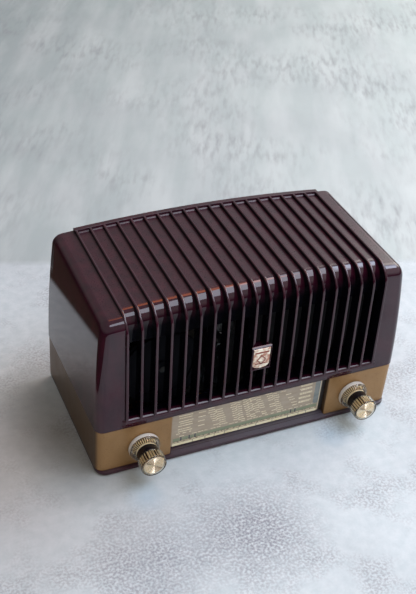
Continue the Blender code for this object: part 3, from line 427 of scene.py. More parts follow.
def plasterBoard():
    # Pale plaster under and behind the radio. Near it, fine grey grit shows through in patches, a brownish
    # patch lies at the left, painted blue light lies under the knobs and the radio's painted shadow darkens
    # the board beside its left side; behind it a second board begins, with soft upright drags of the trowel.
    made, tree, shader, place = startMaterial("plaster_troweled_pale", "#c6ccd1", 0.75)
    split = addNode(tree, "SeparateXYZ", None, {"Vector": place}).outputs

    def along(ax, ay):  # distance in metres in the direction (ax, ay)
        ways = [addNode(tree, "Math", {"operation": "MULTIPLY", 1: share}, {0: split[axis]})
                for share, axis in ((ax, "X"), (ay, "Y"))]
        return addNode(tree, "Math", {"operation": "ADD"}, dict(enumerate(ways)))

    def near(x, y, inner, outer, most):  # a round patch that fades out between two radii
        away = addNode(tree, "VectorMath", {"operation": "DISTANCE", 1: (x, y, 0)}, {0: place})
        return addNode(tree, "MapRange", {1: inner, 2: outer, 3: most, 4: 0.0}, {0: away.outputs["Value"]})

    def grains(grainMm, detail, start, end, least=0.0, most=1.0, spot=place):  # where such grains show
        tone = addNode(tree, "TexNoise", {"Scale": 1000 / grainMm, "Detail": detail}, {"Vector": spot})
        return addNode(tree, "MapRange", {1: start, 2: end, 3: least, 4: most}, {0: tone})

    def layered(board, layers):  # each layer is its colour and the masks whose product lays it on
        for colour, *masks in layers:
            share = masks[0]
            for mask in masks[1:]:
                share = addNode(tree, "Math", {"operation": "MULTIPLY"}, {0: share, 1: mask})
            links = {0: share, 6: board}
            if not isinstance(colour, str):
                links[7] = colour
            settings = {"data_type": "RGBA", **({7: colour} if isinstance(colour, str) else {})}
            board = addNode(tree, "Mix", settings, links)
        return board

    # Both boards are painted paler to the right: painted light, as if falling from that side.
    side = addNode(tree, "MapRange", {1: -0.45, 2: 0.35}, {0: along(0.894, -0.447)})
    paintedFalloff = {"data_type": "RGBA", 6: stage["nearLeft"], 7: stage["nearRight"]}
    board = addNode(tree, "Mix", paintedFalloff, {0: side})
    layers = [("#e9eef2", grains(9.0, 6.0, 0.35, 0.65, 0.0, 0.22)),
              ("#8b8e96", grains(60.0, 4.0, 0.50, 0.64, 0.05, 0.62), grains(2.2, 3.0, 0.42, 0.60))]
    layers += [("#83868f", near(*patch, 0.9), grains(2.2, 3.0, 0.34, 0.60)) for patch in patches["grit"]]
    layers += [("#94bcd6", near(*patch, 0.002, 0.020, 0.35)) for patch in patches["blue"]]
    layers.append(("#a0968a", near(-0.22, -0.02, 0.03, 0.17, 0.5)))
    # painted shadow: dark brown patches where the radio's shadow falls beside its left side
    layers += [("#4d4236", near(x, y, 0.004, 0.055, most)) for x, y, most in patches["shade"]]
    board = layered(board, layers)
    drawn = {"vector_type": "TEXTURE", "Rotation": (0, 0, radians(-26.6)), "Scale": (1, 5, 1)}
    turned = addNode(tree, "Mapping", drawn, {"Vector": place}).outputs["Vector"]
    far = addNode(tree, "Mix", {"data_type": "RGBA", 6: stage["farLeft"], 7: stage["farRight"]}, {0: side})
    far = layered(far, [
        ("#dfe5e6", grains(40.0, 4.0, 0.40, 0.66, 0.0, 0.25, turned)),
        ("#868b90", grains(8.0, 6.0, 0.44, 0.70, 0.0, 0.75, turned),
         grains(150.0, 3.0, 0.42, 0.62, 0.04, 0.8)),
    ])
    begins = addNode(tree, "MapRange", {1: 0.224, 2: 0.236}, {0: along(0.2884, 0.9575)})
    board = layered(board, [(far, begins), ("#93999f", grains(110.0, 4.0, 0.40, 0.70, 0.0, 0.22))])
    connect(tree, shader, {"Base Color": board})
    # Past a line to the left, where the table ends, glossy rays see the board dark brown: a painted
    # reflection of a dark room.
    dark = addNode(tree, "BsdfDiffuse", {"Color": "#40372c"})
    rays = addNode(tree, "LightPath").outputs["Is Glossy Ray"]
    ended = addNode(tree, "MapRange", {1: 0.250, 2: 0.256}, {0: along(-0.977, 0.213)})
    mirrored = addNode(tree, "Math", {"operation": "MULTIPLY"}, {0: rays, 1: ended})
    mixed = addNode(tree, "MixShader", None, {0: mirrored, 1: shader, 2: dark})
    connect(tree, tree.nodes["Material Output"], {"Surface": mixed})
    return made


# Camera, floor and light

view = {"place": (-0.3314, -0.6114, 0.6153), "turn": 26.58, "tilt": 35.73, "roll": 5.09, "lens": 59.02}
stage = {
    "size": 9.0, "nearLeft": "#b2bec3", "nearRight": "#c1cfd4", "farLeft": "#94a1a3", "farRight": "#bbc8c8",
}


def makeCamera():
    turn, tilt, roll = (radians(view[key]) for key in ("turn", "tilt", "roll"))
    ahead = Vector((sin(turn) * cos(tilt), cos(turn) * cos(tilt), -sin(tilt)))
    side = Vector((cos(turn), -sin(turn), 0))
    over = side.cross(ahead)
    right, up = side * cos(roll) + over * sin(roll), over * cos(roll) - side * sin(roll)
    lens = bpy.data.cameras.new("camera")
    lens.lens, lens.sensor_width = view["lens"], 36
    camera = bpy.data.objects.new("camera", lens)
    camera.matrix_world = Matrix((right, up, -ahead)).transposed().to_4x4()
    camera.location = view["place"]
    bpy.context.scene.collection.objects.link(camera)
    bpy.context.scene.camera = camera


def makeFloor():
    form = bmesh.new()
    half = stage["size"] / 2
    corners = ((-half, -half), (half, -half), (half, half), (-half, half))
    form.faces.new([form.verts.new((x, y, 0)) for x, y in corners])
    floor = makePiece("floor", form, plasterBoard(), None)


lamps = {
    # name: where it hangs, what it points at, its sizes, its power in watts, its colour, and whether
    # polished faces show it
    "ceiling": ((0.65, -0.40, 1.45), (0.35, -0.15, 0.0), (1.5, 0.82), 17, "#e6eeff", True),
    "skylight": ((1.05, 0.0, 1.35), (0.35, -0.05, 0.0), (0.7, 0.34), 3.5, "#cfe0ff", True),
    "window": ((1.7, 0.75, 1.15), (0.0, 0.0, 0.05), (1.2, 1.2), 19, "#fffaf2", True),
    "warmStrip": ((0.36, 0.24, 1.40), (0.15, 0.05, 0.0), (0.85, 0.26), 2.6, "#ff8a4a", True),
    "front": ((-0.3, -1.6, 0.9), (0.0, 0.0, 0.05), (1.2, 0.9), 10, "#fff4e6", False),
}
room = {"low": "#3a332e", "left": "#a6a19f", "right": "#f6f7fa"}


def makeLight():
    for name, (place, target, size, power, colour, mirrored) in lamps.items():
        lamp = bpy.data.lights.new(name, "AREA")
        lamp.shape, lamp.size, lamp.size_y = "RECTANGLE", *size
        lamp.energy, lamp.color = power, linear(colour)[:3]
        held = bpy.data.objects.new(name, lamp)
        held.location = place
        held.rotation_euler = (Vector(target) - Vector(place)).to_track_quat("-Z", "Y").to_euler()
        held.visible_glossy = mirrored
        bpy.context.scene.collection.objects.link(held)
    world = bpy.data.worlds.new("room")
    bpy.context.scene.world = world
    world.use_nodes = True
    tree = world.node_tree
    way = addNode(tree, "TexCoord").outputs["Generated"]
    split = addNode(tree, "SeparateXYZ", None, {"Vector": way})
    above = addNode(tree, "Mix", {"data_type": "RGBA", 6: room["left"], 7: room["right"]},
                    {0: addNode(tree, "MapRange", {1: 0.2, 2: 0.6}, {0: split.outputs["X"]})})
    walls = addNode(tree, "Mix", {"data_type": "RGBA", 6: room["low"]},
                    {0: addNode(tree, "MapRange", {1: 0.05, 2: 0.4}, {0: split.outputs["Z"]}), 7: above})
    connect(tree, tree.nodes["Background"], {"Color": walls})
    bpy.context.scene.view_settings.view_transform = "Standard"


print("camera, floor and light")
makeCamera()
makeFloor()
makeLight()

# Cabinet moulding

cabinet = {"halfWidth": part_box("cabinet_shell")[1].x * 1000, "depth": 140.0, "wall": 3.2,
           "plinth": (1.0, 4.5), "plinthProud": 3.0, "bandTop": 48.4, "bandThick": 2.0, "bandSetback": 0.4,
           "gap": 0.3, "cornerRadius": 7.5, "topZ": 155.7, "topRise": 2.8, "crown": 4.4, "sideCurve": 5.6,
           "finRoll": 19.0, "rollY": 20.9, "rollZ": 139.5, "postRoll": 11.0, "panelRoll": 14.0,
           "panelY": 11.8, "panelBendZ": 127.0, "panelTurn": 2.0, "finCount": 20, "finPitch": 12.5,
           "finThick": 2.5, "finProud": 2.3, "finInner": 11.0, "finEdge": 0.95, "railLow": 52.6,
           "railHigh": 58.5, "railFront": -2.5, "grilleHalf": 118.4, "railHalf": 123.5, "grilleTop": 129.0,
           "window": (77.4, 5.6, 47.6), "knob": (103.0, 24.5)}
c = cabinet
finSpan = (c["finCount"] - 1) / 2 * c["finPitch"]
finOnTop = c["finRoll"] + c["rollZ"] - c["topZ"]
ledgeZ = c["railHigh"] - 0.5
edgeSteps, rollSteps = 8, 12


def sideLean(z):
    return c["sideCurve"] * (max(z - 44.0, 0.0) / 106.0) ** 2


def frontLine(z):
    return -0.3 + 4.4 * (max(z - 48.0, 0.0) / 90.0) ** 1.3


def crown(x, z):
    share = min(max((z - 58.0) / 98.0, 0.0), 1.1)
    return c["crown"] * (1 - (x / finSpan) ** 2) * share ** 2


def topLine(y):
    return c["topZ"] + c["topRise"] * (y - c["rollY"]) / (c["depth"] - c["rollY"])


def roll(centreY, centreZ, radius, start, steps):  # a quarter turn from facing forwards to facing up
    angles = [radians(start + (90 - start) * step / steps) for step in range(steps + 1)]
    return [(centreY - radius * cos(a), centreZ + radius * sin(a)) for a in angles]


def panelLine(z):
    return c["panelY"] + 0.2 + min(0.16 * max(c["panelBendZ"] - z, 0.0), 3.5)


def postProfile(inset, low):
    heights = (low, 50.0, ledgeZ - 0.6, ledgeZ, 70.0, 82.0, 93.0, 104.0, 115.0, 126.0, 136.0)
    centreY = frontLine(c["topZ"] - c["postRoll"]) + c["postRoll"]
    front = [(frontLine(z) + inset, z) for z in heights]
    return front + roll(centreY, c["topZ"] - c["postRoll"], c["postRoll"] - inset, 4.0, rollSteps)


def panelProfile(inset, low):
    outer = [(frontLine(z) + inset, z) for z in (low, 50.0, ledgeZ - 0.6)]
    inner = [(panelLine(z) + inset, z) for z in (ledgeZ, 70.0, 82.0, 93.0, 104.0, 115.0, 126.0, 136.0)]
    centreY = c["panelY"] + c["panelRoll"]
    return outer + inner + roll(centreY, c["topZ"] - c["panelRoll"], c["panelRoll"] - inset, c["panelTurn"],
                                rollSteps)


def withRear(points, rear, proud):
    back = [(rear, z) for y, z in points[:-1]] + [(rear, topLine(rear) + proud)]
    return points + back[::-1]


def bodyRing(profile, inset, xAt):
    ring = []
    for y, z in withRear(profile(inset, c["plinth"][1] - 1.0), c["depth"], -inset):
        x = xAt(z)
        ring.append((x, y, z + crown(x, z)))
    return ring


def endRing(sign, step):
    a = pi / 2 * step / edgeSteps
    back, inset = c["cornerRadius"] * (1 - cos(a)), c["cornerRadius"] * (1 - sin(a))
    return bodyRing(postProfile, inset, lambda z: sign * (c["halfWidth"] - sideLean(z) - back))


def cabinetBody():
    post = c["grilleHalf"] + 0.2
    rings = [endRing(-1, step) for step in range(edgeSteps + 1)]
    rings.append(bodyRing(postProfile, 0.0, lambda z: -post))
    for k in range(25):
        rings.append(bodyRing(panelProfile, 0.0, lambda z: c["grilleHalf"] * (k / 12 - 1)))
    rings.append(bodyRing(postProfile, 0.0, lambda z: post))
    rings += [endRing(1, step) for step in range(edgeSteps, -1, -1)]
    return makePiece("cabinet_moulding", loft(bmesh.new(), rings, True), None, None)


def cavityRing(front, xAt):
    lowWall = [(c["bandThick"] + c["gap"] + 2.6, z) for z in (c["plinth"][1] + 1.5, 49.0, 53.0)]
    ring = []
    for y, z in withRear(lowWall + front, c["depth"] + 5, -c["wall"]):
        x = xAt(z)
        ring.append((x, y, z + crown(x, z)))
    return ring


def cavity():
    behindBand = c["bandThick"] + c["gap"] + 3.2
    wall = c["wall"]
    post = [(frontLine(z) + wall, z) for z in (c["railHigh"] - 3, 92.0, 126.0)]
    post += roll(frontLine(147) + c["postRoll"], c["topZ"] - c["postRoll"], c["postRoll"] - wall, 4.0, 5)
    panel = [(panelLine(z) + wall, z) for z in (c["railHigh"] - 3, 92.0, 126.0)]
    panel += roll(c["panelY"] + c["panelRoll"], c["topZ"] - c["panelRoll"], c["panelRoll"] - wall,
                  c["panelTurn"], 5)

    def side(sign):
        return lambda z: sign * (c["halfWidth"] - sideLean(z) - (behindBand if z < 50 else wall))

    step = c["grilleHalf"] + wall
    rings = [cavityRing(post, side(-1)), cavityRing(post, lambda z: -step - 0.2)]
    rings += [cavityRing(panel, lambda z, k=k: step * (k / 6 - 1)) for k in range(13)]
    rings += [cavityRing(post, lambda z: step + 0.2), cavityRing(post, side(1))]
    return makePiece("cavity", loft(bmesh.new(), rings, True), None, None)


def ridgeY(z):
    return frontLine(z) - c["finProud"]


def finOutline(inset):  # the ridge drawn in by inset, and an inner line inside the walls that it joins
    rear = c["depth"] - 3.0
    low = c["railLow"] + 1.6
    outline = [(ridgeY(z) + inset, z) for z in (low, 64.0, 74.0, 87.0, 100.0, 111.0, 122.0, 131.0)]
    outline += roll(c["rollY"], c["rollZ"], c["finRoll"] - inset, 4.0, 16)
    for y in (50.0, 80.0, 110.0, rear):
        outline.append((y, topLine(y) + finOnTop - inset))
    outline += [(y, topLine(y) - 1.6) for y in (rear, 110.0, 80.0, 50.0)]
    buried = c["panelRoll"] - 1.6
    for a in (90, 67, 45, 22):
        outline.append((c["panelY"] + c["panelRoll"] - cos(radians(a)) * buried,
                        c["topZ"] - c["panelRoll"] + sin(radians(a)) * buried))
    outline += [(panelLine(c["grilleTop"]) + 1.6, c["grilleTop"] + 1.0), (c["finInner"] + 1.0, 126.0)]
    return outline + [(c["finInner"], 96.0), (c["finInner"], low)]


def fins():
    form = bmesh.new()
    edge, half = c["finEdge"], c["finThick"] / 2
    across = [(-half, edge), (-half + 0.13 * edge, 0.5 * edge), (-half + 0.5 * edge, 0.13 * edge),
              (-half + edge, 0.0)]
    across += [(-x, inset) for x, inset in across[::-1]]
    for i in range(c["finCount"]):
        middle = i * c["finPitch"] - finSpan
        rings = []
        for x, inset in across:
            rings.append([(middle + x, y, z + crown(middle, z)) for y, z in finOutline(inset)])
        loft(form, rings)
    return makePiece("fins", form, None, None)


def sweptBar(outline, halfLength, steps, taper=0.0):  # its ends draw back into the posts over the taper
    rings = []
    places = [(halfLength - taper) * (2 * k / steps - 1) for k in range(steps + 1)]
    if taper:
        places = [-halfLength, *places, halfLength]
    for x in places:
        least = 0.6 if abs(x) > halfLength - 0.01 and taper else -10.0
        rings.append([(x, max(y, least), z + crown(x, z)) for y, z in outline])
    return makePiece("bar", loft(bmesh.new(), rings), None, None)


def planOutline(halfWidth, front, rear, radius, steps=8):
    points = [(halfWidth, rear), (-halfWidth, rear)]
    for sign in (-1, 1):
        for step in range(steps + 1):
            a = pi / 2 * (step if sign < 0 else steps - step) / steps
            points.append((sign * (halfWidth - radius * (1 - cos(a))), front + radius * (1 - sin(a))))
    return points


def blockTool(low, high):
    return makePiece("tool", addBlock(bmesh.new(), low, high), None, None)


def prismTool(outline, start, end, axis):
    return makePiece("tool", addPrism(bmesh.new(), outline, start, end, axis), None, None)


coverScrews = [(sx * 124.0, z) for sx in (-1, 1) for z in (14.0, 140.0)]
feetAt = [(sx * 122.0, y) for sx in (-1, 1) for y in (16.0, 124.0)]


def railOutline():
    front, low, high = c["railFront"], c["railLow"], c["railHigh"]
    outline = [(2.0, 49.6), (front + 0.6, low), (front + 0.15, low + 0.3), (front, low + 0.8)]
    lipRadius = 3.6
    for step in range(9):
        a = pi / 2 * step / 8
        outline.append((front + lipRadius * (1 - cos(a)), high - lipRadius * (1 - sin(a))))
    return outline + [(9.0, high), (9.0, 55.0), (4.6, 51.0)]


def lipOutline():
    rear, low = c["depth"], topLine(c["depth"]) - 1.7
    high = topLine(rear) + finOnTop + 0.2
    square = [(rear - 5, low), (rear - 5, high), (rear - 0.2, high), (rear - 0.2, low)]
    panel = topLine(rear - 5)
    slope = [(rear - 6.3, panel - 0.3), (rear - 6.3, panel), (rear - 5.2, panel + 0.85)]
    return slope + roundCorners(square, 0.8, 3)[4:12] + [square[3]]


def bossTool():
    form = bmesh.new()
    for x, z in coverScrews:
        side = 1 if x > 0 else -1
        outer = x + side * (18.0 if z < 100 else 14.2)
        low, high = (c["plinth"][1] - 0.5, z + 5) if z < 100 else (z - 5, z + 8)
        near, far = sorted((x - side * 5.0, outer))
        addBlock(form, (near, c["depth"] - 16, low), (far, c["depth"] - 4.4, high))
    bosses = makePiece("bosses", form, None, None)
    holes = bmesh.new()
    for x, z in coverScrews:
        addTurned(holes, disc(1.9, c["depth"] - 14, c["depth"]), (x, 0, z), segments=16)
    return carve(bosses, [makePiece("holes", holes, None, None)])


def makeCabinet():
    moulding = cabinetBody()
    half = c["halfWidth"]
    grille = blockTool((-c["grilleHalf"], 8.0, 50.0), (c["grilleHalf"], 30.0, c["grilleTop"]))
    carve(moulding, [cavity(), grille])
    carve(moulding, [sweptBar(railOutline(), c["railHalf"], 12, 3.2), fins()], "UNION")
    carve(moulding, [sweptBar(lipOutline(), finSpan + c["finThick"] / 2 + 0.3, 24)], "UNION")
    behind = c["bandThick"] + c["gap"]
    groove = prismTool(planOutline(half + 10, -10, c["depth"] + 10, 2.0, 1), c["plinth"][1] - 2.5,
                       c["bandTop"] + c["gap"], "Z")
    core = planOutline(half - c["bandSetback"] - behind, behind, c["depth"] + 20,
                       c["cornerRadius"] - behind)
    carve(groove, [prismTool(core, -5, c["bandTop"] + 20, "Z")])
    carve(moulding, [groove])
    rings = []
    low, high = c["plinth"]
    for z, inset in ((low, 0.5), (low + 0.6, 0.0), (high - 0.7, 0.0), (high - 0.2, 0.15), (high, 0.6)):
        shape = planOutline(half - c["bandSetback"] - 0.2 - inset, -c["plinthProud"] + inset,
                            c["depth"] - 0.5 - inset, 10.0)
        rings.append([(x, y, z) for x, y in shape])
    carve(moulding, [makePiece("plinth", loft(bmesh.new(), rings), None, None)], "UNION")
    form = bmesh.new()
    windowHalf, windowLow, windowHigh = c["window"]
    addBlock(form, (-windowHalf, -6, windowLow), (windowHalf, 12, windowHigh))
    for sign in (-1, 1):
        addTurned(form, disc(6.4, -6, 12), (sign * c["knob"][0], 0, c["knob"][1]), segments=32)
    carve(moulding, [makePiece("openings", form, None, None)])
    sill = [(-1.9, 4.2), (-1.9, high + 0.05), (2.0, 5.15), (5.3, windowLow + 0.02), (9.0, windowLow + 0.02),
            (9.0, 4.2)]
    carve(moulding, [prismTool(sill, 1.2 - windowHalf, windowHalf - 1.2, "X")], "UNION")
    carve(moulding, [bossTool()], "UNION")
    form = bmesh.new()
    for x, y in feetAt:
        addTurned(form, disc(7.3, -1.0, 2.5), (x, y, 0), "Z", 32)
    carve(moulding, [makePiece("pockets", form, None, None)])
    moulding.data.materials.clear()
    moulding.data.materials.append(phenolic)
    mergeFlat(moulding)
    moulding.data.shade_smooth()
    moulding.data.set_sharp_from_angle(angle=radians(32))
    flatter = moulding.modifiers.new("flat faces stay flat", "WEIGHTED_NORMAL")
    flatter.keep_sharp = True
    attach(moulding, case)
    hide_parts("cabinet_shell")


print("cabinet moulding")
phenolic = phenolicMoulded()
makeCabinet()

# Trim bands

band = {"low": 4.9, "rearGap": 0.6, "bend": 1.7, "fold": 5.0}


def makeBands():
    lacquer = lacquerOnSheet()
    half, thick, radius = c["halfWidth"] - c["bandSetback"], c["bandThick"], c["cornerRadius"]
    high = c["bandTop"] - c["gap"]
    rear = c["depth"] - band["rearGap"]
    start = c["window"][0] - 0.9
    steps = 12
    for side, sign in (("left", -1), ("right", 1)):
        outer, inner = [], []
        for step in range(steps + 1):
            a = pi / 2 * step / steps
            r = radius - thick
            outer.append((half - radius + radius * sin(a), radius - radius * cos(a)))
            inner.append((half - radius + r * sin(a), radius - r * cos(a)))
        bend = band["bend"]
        nose = [(start + 0.6, thick), (start + 0.6, band["fold"]), (start, band["fold"])]
        for step in range(8):
            a = pi / 2 * step / 7
            nose.append((start + bend * (1 - cos(a)), bend * (1 - sin(a))))
        outline = nose + outer + [(half, rear), (half - thick, rear)] + inner[::-1]
        form = bmesh.new()
        addPrism(form, [(sign * x, y) for x, y in outline], band["low"], high, "Z")
        name = f"trim_band_sheet_{side}"
        sheet = makePiece(name, form, lacquer, case, [f"trim_band_{side}"], "gold_lacquer")
        cut = bmesh.new()
        addTurned(cut, disc(6.4, -6, 12), (sign * c["knob"][0], 0, c["knob"][1]), segments=48)
        near, far = sorted((sign * (start - 1), sign * (start + 1.1)))
        for z0, z1 in ((0, c["window"][1] + 0.3), (c["window"][2] - 0.3, 60)):
            addBlock(cut, (near, thick + 0.01, z0), (far, 9, z1))
        carve(sheet, [makePiece("cut", cut, None, None)])
        sheet.data.shade_smooth()
        sheet.data.set_sharp_from_angle(angle=radians(32))
        softenEdges(sheet, 0.5, 3)


print("trim bands")
makeBands()

# Dial

dial = {
    "half": 82.0, "front": 5.4, "rear": 7.4, "low": 6.9, "high": 48.0, "ink": 0.06, "pitch": 2.6,
    "taupe": "#9c8f7c", "taupeTwo": "#a79b8a", "cream": "#e9dfc4", "creamTwo": "#d3c7a6",
    "green": "#75826a", "greenTwo": "#8b947a", "grey": "#6f7879", "greyTwo": "#838a89",
    # edge is a near-black strip at the dial's right end: painted shade in the gap before the band
    "dark": "#353f45", "darkTwo": "#4a5356", "edge": "#14110f", "edgeTwo": "#1d1916",
    "ivory": "#f6f1d6", "ivoryTwo": "#e6e0b8",
    # station columns: middle at the top, middle at the foot, width, top, foot
    "columns": [(-36.0, -28.0, 13.0, 45.0, 19.5), (-16.0, -9.0, 10.0, 45.0, 19.5),
                (-5.0, 3.0, 8.0, 45.0, 19.5), (3.0, 13.5, 11.0, 45.0, 19.5),
                (20.0, 29.0, 11.0, 45.0, 19.5)],
    "strip": [(-73.0, -66.4), (-64.2, -58.4), (-56.2, -52.9), (-50.7, 42.6), (44.8, 47.1), (49.3, 70.5)],
    "footCells": (-74.0, -54.2, -42.0, -33.0, -23.0, -9.3, 8.6, 25.0, 41.0, 52.0, 60.0, 71.0),
    # groups of long dashes: left end, right end, heights
    "groups": [(-69.0, -54.5, (41.0, 38.4, 34.6, 32.0, 29.4, 25.6, 23.0)), (-71.5, -66.0, (20.5,)),
               (-64.5, -60.5, (20.5,)), (-59.0, -55.5, (20.5,)), (-50.5, -42.5, (40.0, 35.0, 30.0, 24.5)),
               (50.0, 64.5, (42.6, 41.4, 38.2, 37.0, 33.2, 32.0, 28.2, 27.0, 23.2, 22.0))],
}


def addInk(form, x0, x1, z0, z1):  # a flat stroke that stands proud of the lacquer by the ink's own depth
    front = dial["front"] - dial["ink"]
    addBlock(form, (x0, front, z0), (x1, dial["front"] + 0.01, z1))


def addDash(form, chance, x0, x1, z, thick=0.95):  # a dash as short strokes, uneven as worn printing is
    x = x0
    while x < x1 - 0.5:
        long = min(chance.uniform(1.2, 2.9), x1 - x)
        addInk(form, x, x + long, z - thick / 2 + chance.uniform(-0.12, 0.12), z + thick / 2)
        x += long + chance.uniform(0.15, 0.4)


def stationMarks(chance):
    marks = bmesh.new()
    for topX, footX, width, top, foot in dial["columns"]:
        rows = int((top - foot) / dial["pitch"] * 2)
        for row in range(rows + 1):
            share = row / rows
            x = topX + (footX - topX) * share + (0.25 if row % 2 else -0.25) * width
            long = width * chance.uniform(0.42, 0.66)
            if chance.random() > 0.06:
                addDash(marks, chance, x - long / 2, x + long / 2, top - (top - foot) * share, 0.85)
    for x0, x1, heights in dial["groups"]:
        for z in heights:
            addDash(marks, chance, x0 + chance.uniform(0, 1.6), x1 - chance.uniform(0, 2.4), z, 0.9)
    for x, z in ((30.0, 41.0), (36.0, 36.0), (38.5, 31.5), (40.5, 28.5), (43.0, 24.5), (44.5, 21.0)):
        addDash(marks, chance, x, x + 5.5, z, 0.8)
    for x in range(-73, 66, 6):
        if chance.random() < 0.85:
            addDash(marks, chance, x, x + chance.uniform(2.5, 5.2), 17.2, 0.7)
        addDash(marks, chance, x, x + chance.uniform(3.0, 5.6), 10.9, 0.75)
    # pale lines at both ends: painted highlights of the glass's lit edges
    addInk(marks, -75.2, -74.7, 8.0, 46.5)
    addInk(marks, 71.7, 72.2, 8.0, 46.5)
    return marks


def darkMarks(chance):
    form = bmesh.new()
    for x in (-66.0, -58.0, -52.5, 43.0, 47.5):
        addInk(form, x, x + 1.4, 11.7, 16.0)
    for k in range(46):
        x = -72.5 + 3.05 * k
        if chance.random() < 0.8:
            addInk(form, x, x + chance.uniform(0.8, 2.3), 11.55, 12.1)
        if chance.random() < 0.5:
            addInk(form, x + 0.6, x + 1.6, 10.0, 10.35)
    for x in dial["footCells"][1:-1]:
        addInk(form, x, x + chance.uniform(0.25, 0.5), 7.1, 9.9)
    return form


def inked(strokes):
    form = bmesh.new()
    for stroke in strokes:
        addInk(form, *stroke)
    return form


def makeDial():
    finishes = {}
    for name in ("taupe", "cream", "green", "grey", "dark", "edge", "ivory"):
        finishes[name] = lacquerBehindGlass(f"dial_lacquer_{name}", dial[name], dial[name + "Two"])
    half, low, high = dial["half"], dial["low"], dial["high"]
    sheet = makePiece("dial_glass_sheet",
                      addBlock(bmesh.new(), (-half, dial["front"], low), (half, dial["rear"], high)),
                      finishes["taupe"], case, ["dial_glass"], "dial_print")
    softenEdges(sheet, 0.35, 2)
    chance = random.Random(7)
    cells = dial["footCells"]
    for name, form, finish in (
            ("station_marks", stationMarks(chance), "cream"),
            ("green_strip", inked((x0, x1, 12.3, 15.6) for x0, x1 in dial["strip"]), "green"),
            ("foot_scale", inked((x0 + 0.5, x1, 6.95, 9.75) for x0, x1 in zip(cells, cells[1:])),
             "ivory"),
            ("clear_margin", inked([(66.2, 71.6, 16.5, 46.5), (-77.0, -75.3, low + 0.1, high - 0.5)]),
             "grey"),
            ("dark_marks", darkMarks(chance), "dark"),
            # painted shade: near-black strip in the gap before the right band
            ("shade_strip_painted", inked([(72.6, 77.2, low + 0.05, high - 0.5)]), "edge")):
        makePiece(f"dial_{name}", form, finishes[finish], case, (), "dial_print", soft=0)


print("dial")
makeDial()

# Knobs

knobs = {
    "brass": "#fff2d2", "brassTwo": "#f3dcae", "disc": "#fff0d8", "discTwo": "#f2dcb8",
    # outlines: radius, distance behind the trim band's front
    "shell": [(9.9, -26.2), (9.9, -27.0), (10.9, -27.0), (11.5, -26.3), (11.5, -18.4), (10.9, -17.8),
              (9.9, -17.8)],
    "core": [(3.2, -26.0), (9.0, -26.0), (9.7, -25.4), (9.7, -18.4), (9.3, -17.9), (3.2, -17.9)],
    "collar": [(3.3, -17.5), (9.5, -17.5), (9.5, -9.6), (3.3, -9.6)],
    "flange": [(9.6, -8.2), (10.3, -8.2), (13.2, -6.5), (13.9, -5.2), (13.9, -1.7), (13.2, -0.6),
               (12.0, -0.6), (12.0, -5.3), (11.5, -6.1)],
    "drum": [(3.4, -8.7), (8.4, -8.7), (8.9, -8.3), (9.3, -7.4), (11.2, -5.9), (11.6, -5.2),
             (11.6, -1.6), (11.2, -1.1), (5.0, -1.1), (5.0, 11.2), (3.4, 11.2)],
    "discRadius": 8.6, "toolPitch": 0.8,
}


# The flutes' valleys take a dark brown brass: painted shade between the flutes.
def valleyOf(count, rim, dark=1):  # the valleys of count flutes, outside the rim radius, take a darker brass
    def pick(turn, radius):
        return dark if radius > rim and abs(turn * count % 1 - 0.5) > 0.29 else 0
    return pick


def flutes(depth, count, rim, behind=100.0, phase=1):  # flutes outside the rim radius, forward of behind
    def flute(a, r, y):
        return r - (depth * (0.5 + phase * 0.5 * cos(count * a)) if r > rim and y < behind else 0.0)
    return flute


def spunFace():  # the turning tool's rings, deep enough to fan out a highlight
    face, cuts = [(0, -26.45)], 80
    for k in range(1, cuts + 1):
        r = knobs["discRadius"] * k / cuts
        face.append((r, -26.65 + 0.2 * cos(2 * pi * r / knobs["toolPitch"])))
    return face + [(9.0, -26.5), (9.0, -26.1), (0, -26.1)]


def makeKnobs():
    clear, ground = clearAcrylic(), rimHighlightAcrylic()
    fluted = turnedBrass("brass_knurled_lacquered", knobs["brass"], knobs["brassTwo"], 0.28, None, 0.45)
    # painted shade: the dark brass for the flutes' valleys
    shaded = turnedBrass("brass_knurled_valley_painted_shade", "#5a3a1a", "#432912", 0.5)
    black = dullSolid("phenolic_black_satin", "#0a090c", "#121015", 0.25, 2.0, 0.02)
    shell, collar, flange = (roundCorners(knobs[key], radius, 3) for key, radius in (
        ("shell", 0.3), ("collar", 0.5), ("flange", 0.5)))
    for sign, front, back in ((-1, "volume", "tone"), (1, "tuning", "waveband")):
        centre = (sign * c["knob"][0], 0, c["knob"][1])
        spun = turnedBrass(f"brass_spun_{front}", knobs["disc"], knobs["discTwo"], 0.22, at(*centre))
        knob, ring = f"{front}_knob", f"{back}_ring"
        for body, name, outline, finish, stands, slot, segments, flute, pick in (
                (knob, "clear_shell", shell, clear, [knob], "clear_acrylic", 144,
                 flutes(0.25, 36, 11.0, phase=-1), None),
                (knob, "core", knobs["core"], [fluted, shaded], (), "brass", 240,
                 flutes(0.8, 24, 9.2), valleyOf(24, 9.25)),
                (knob, "spun_disc", spunFace(), spun, [f"{knob}_disc"], "brass", 96, None, None),
                (knob, "collar", collar, black, [f"{front}_collar"], "black_phenolic", 72, None, None),
                (ring, "clear_flange", flange, [clear, ground], [ring], "clear_acrylic", 96, None,
                 lambda turn, radius: 1 if radius > 13.3 else 0),
                (ring, "drum", knobs["drum"], [fluted, shaded], [f"{back}_sleeve"], "brass", 288,
                 flutes(0.9, 36, 9.0, -1.0), valleyOf(36, 9.0))):
            form = addTurned(bmesh.new(), outline, centre, segments=segments, flute=flute, pick=pick)
            makePiece(f"{body}_{name}", form, finish, body, stands, slot)


print("knobs")
makeKnobs()

# Badge

badge = {"half": 9.5, "low": 82.5, "high": 108.3, "front": -4.0}


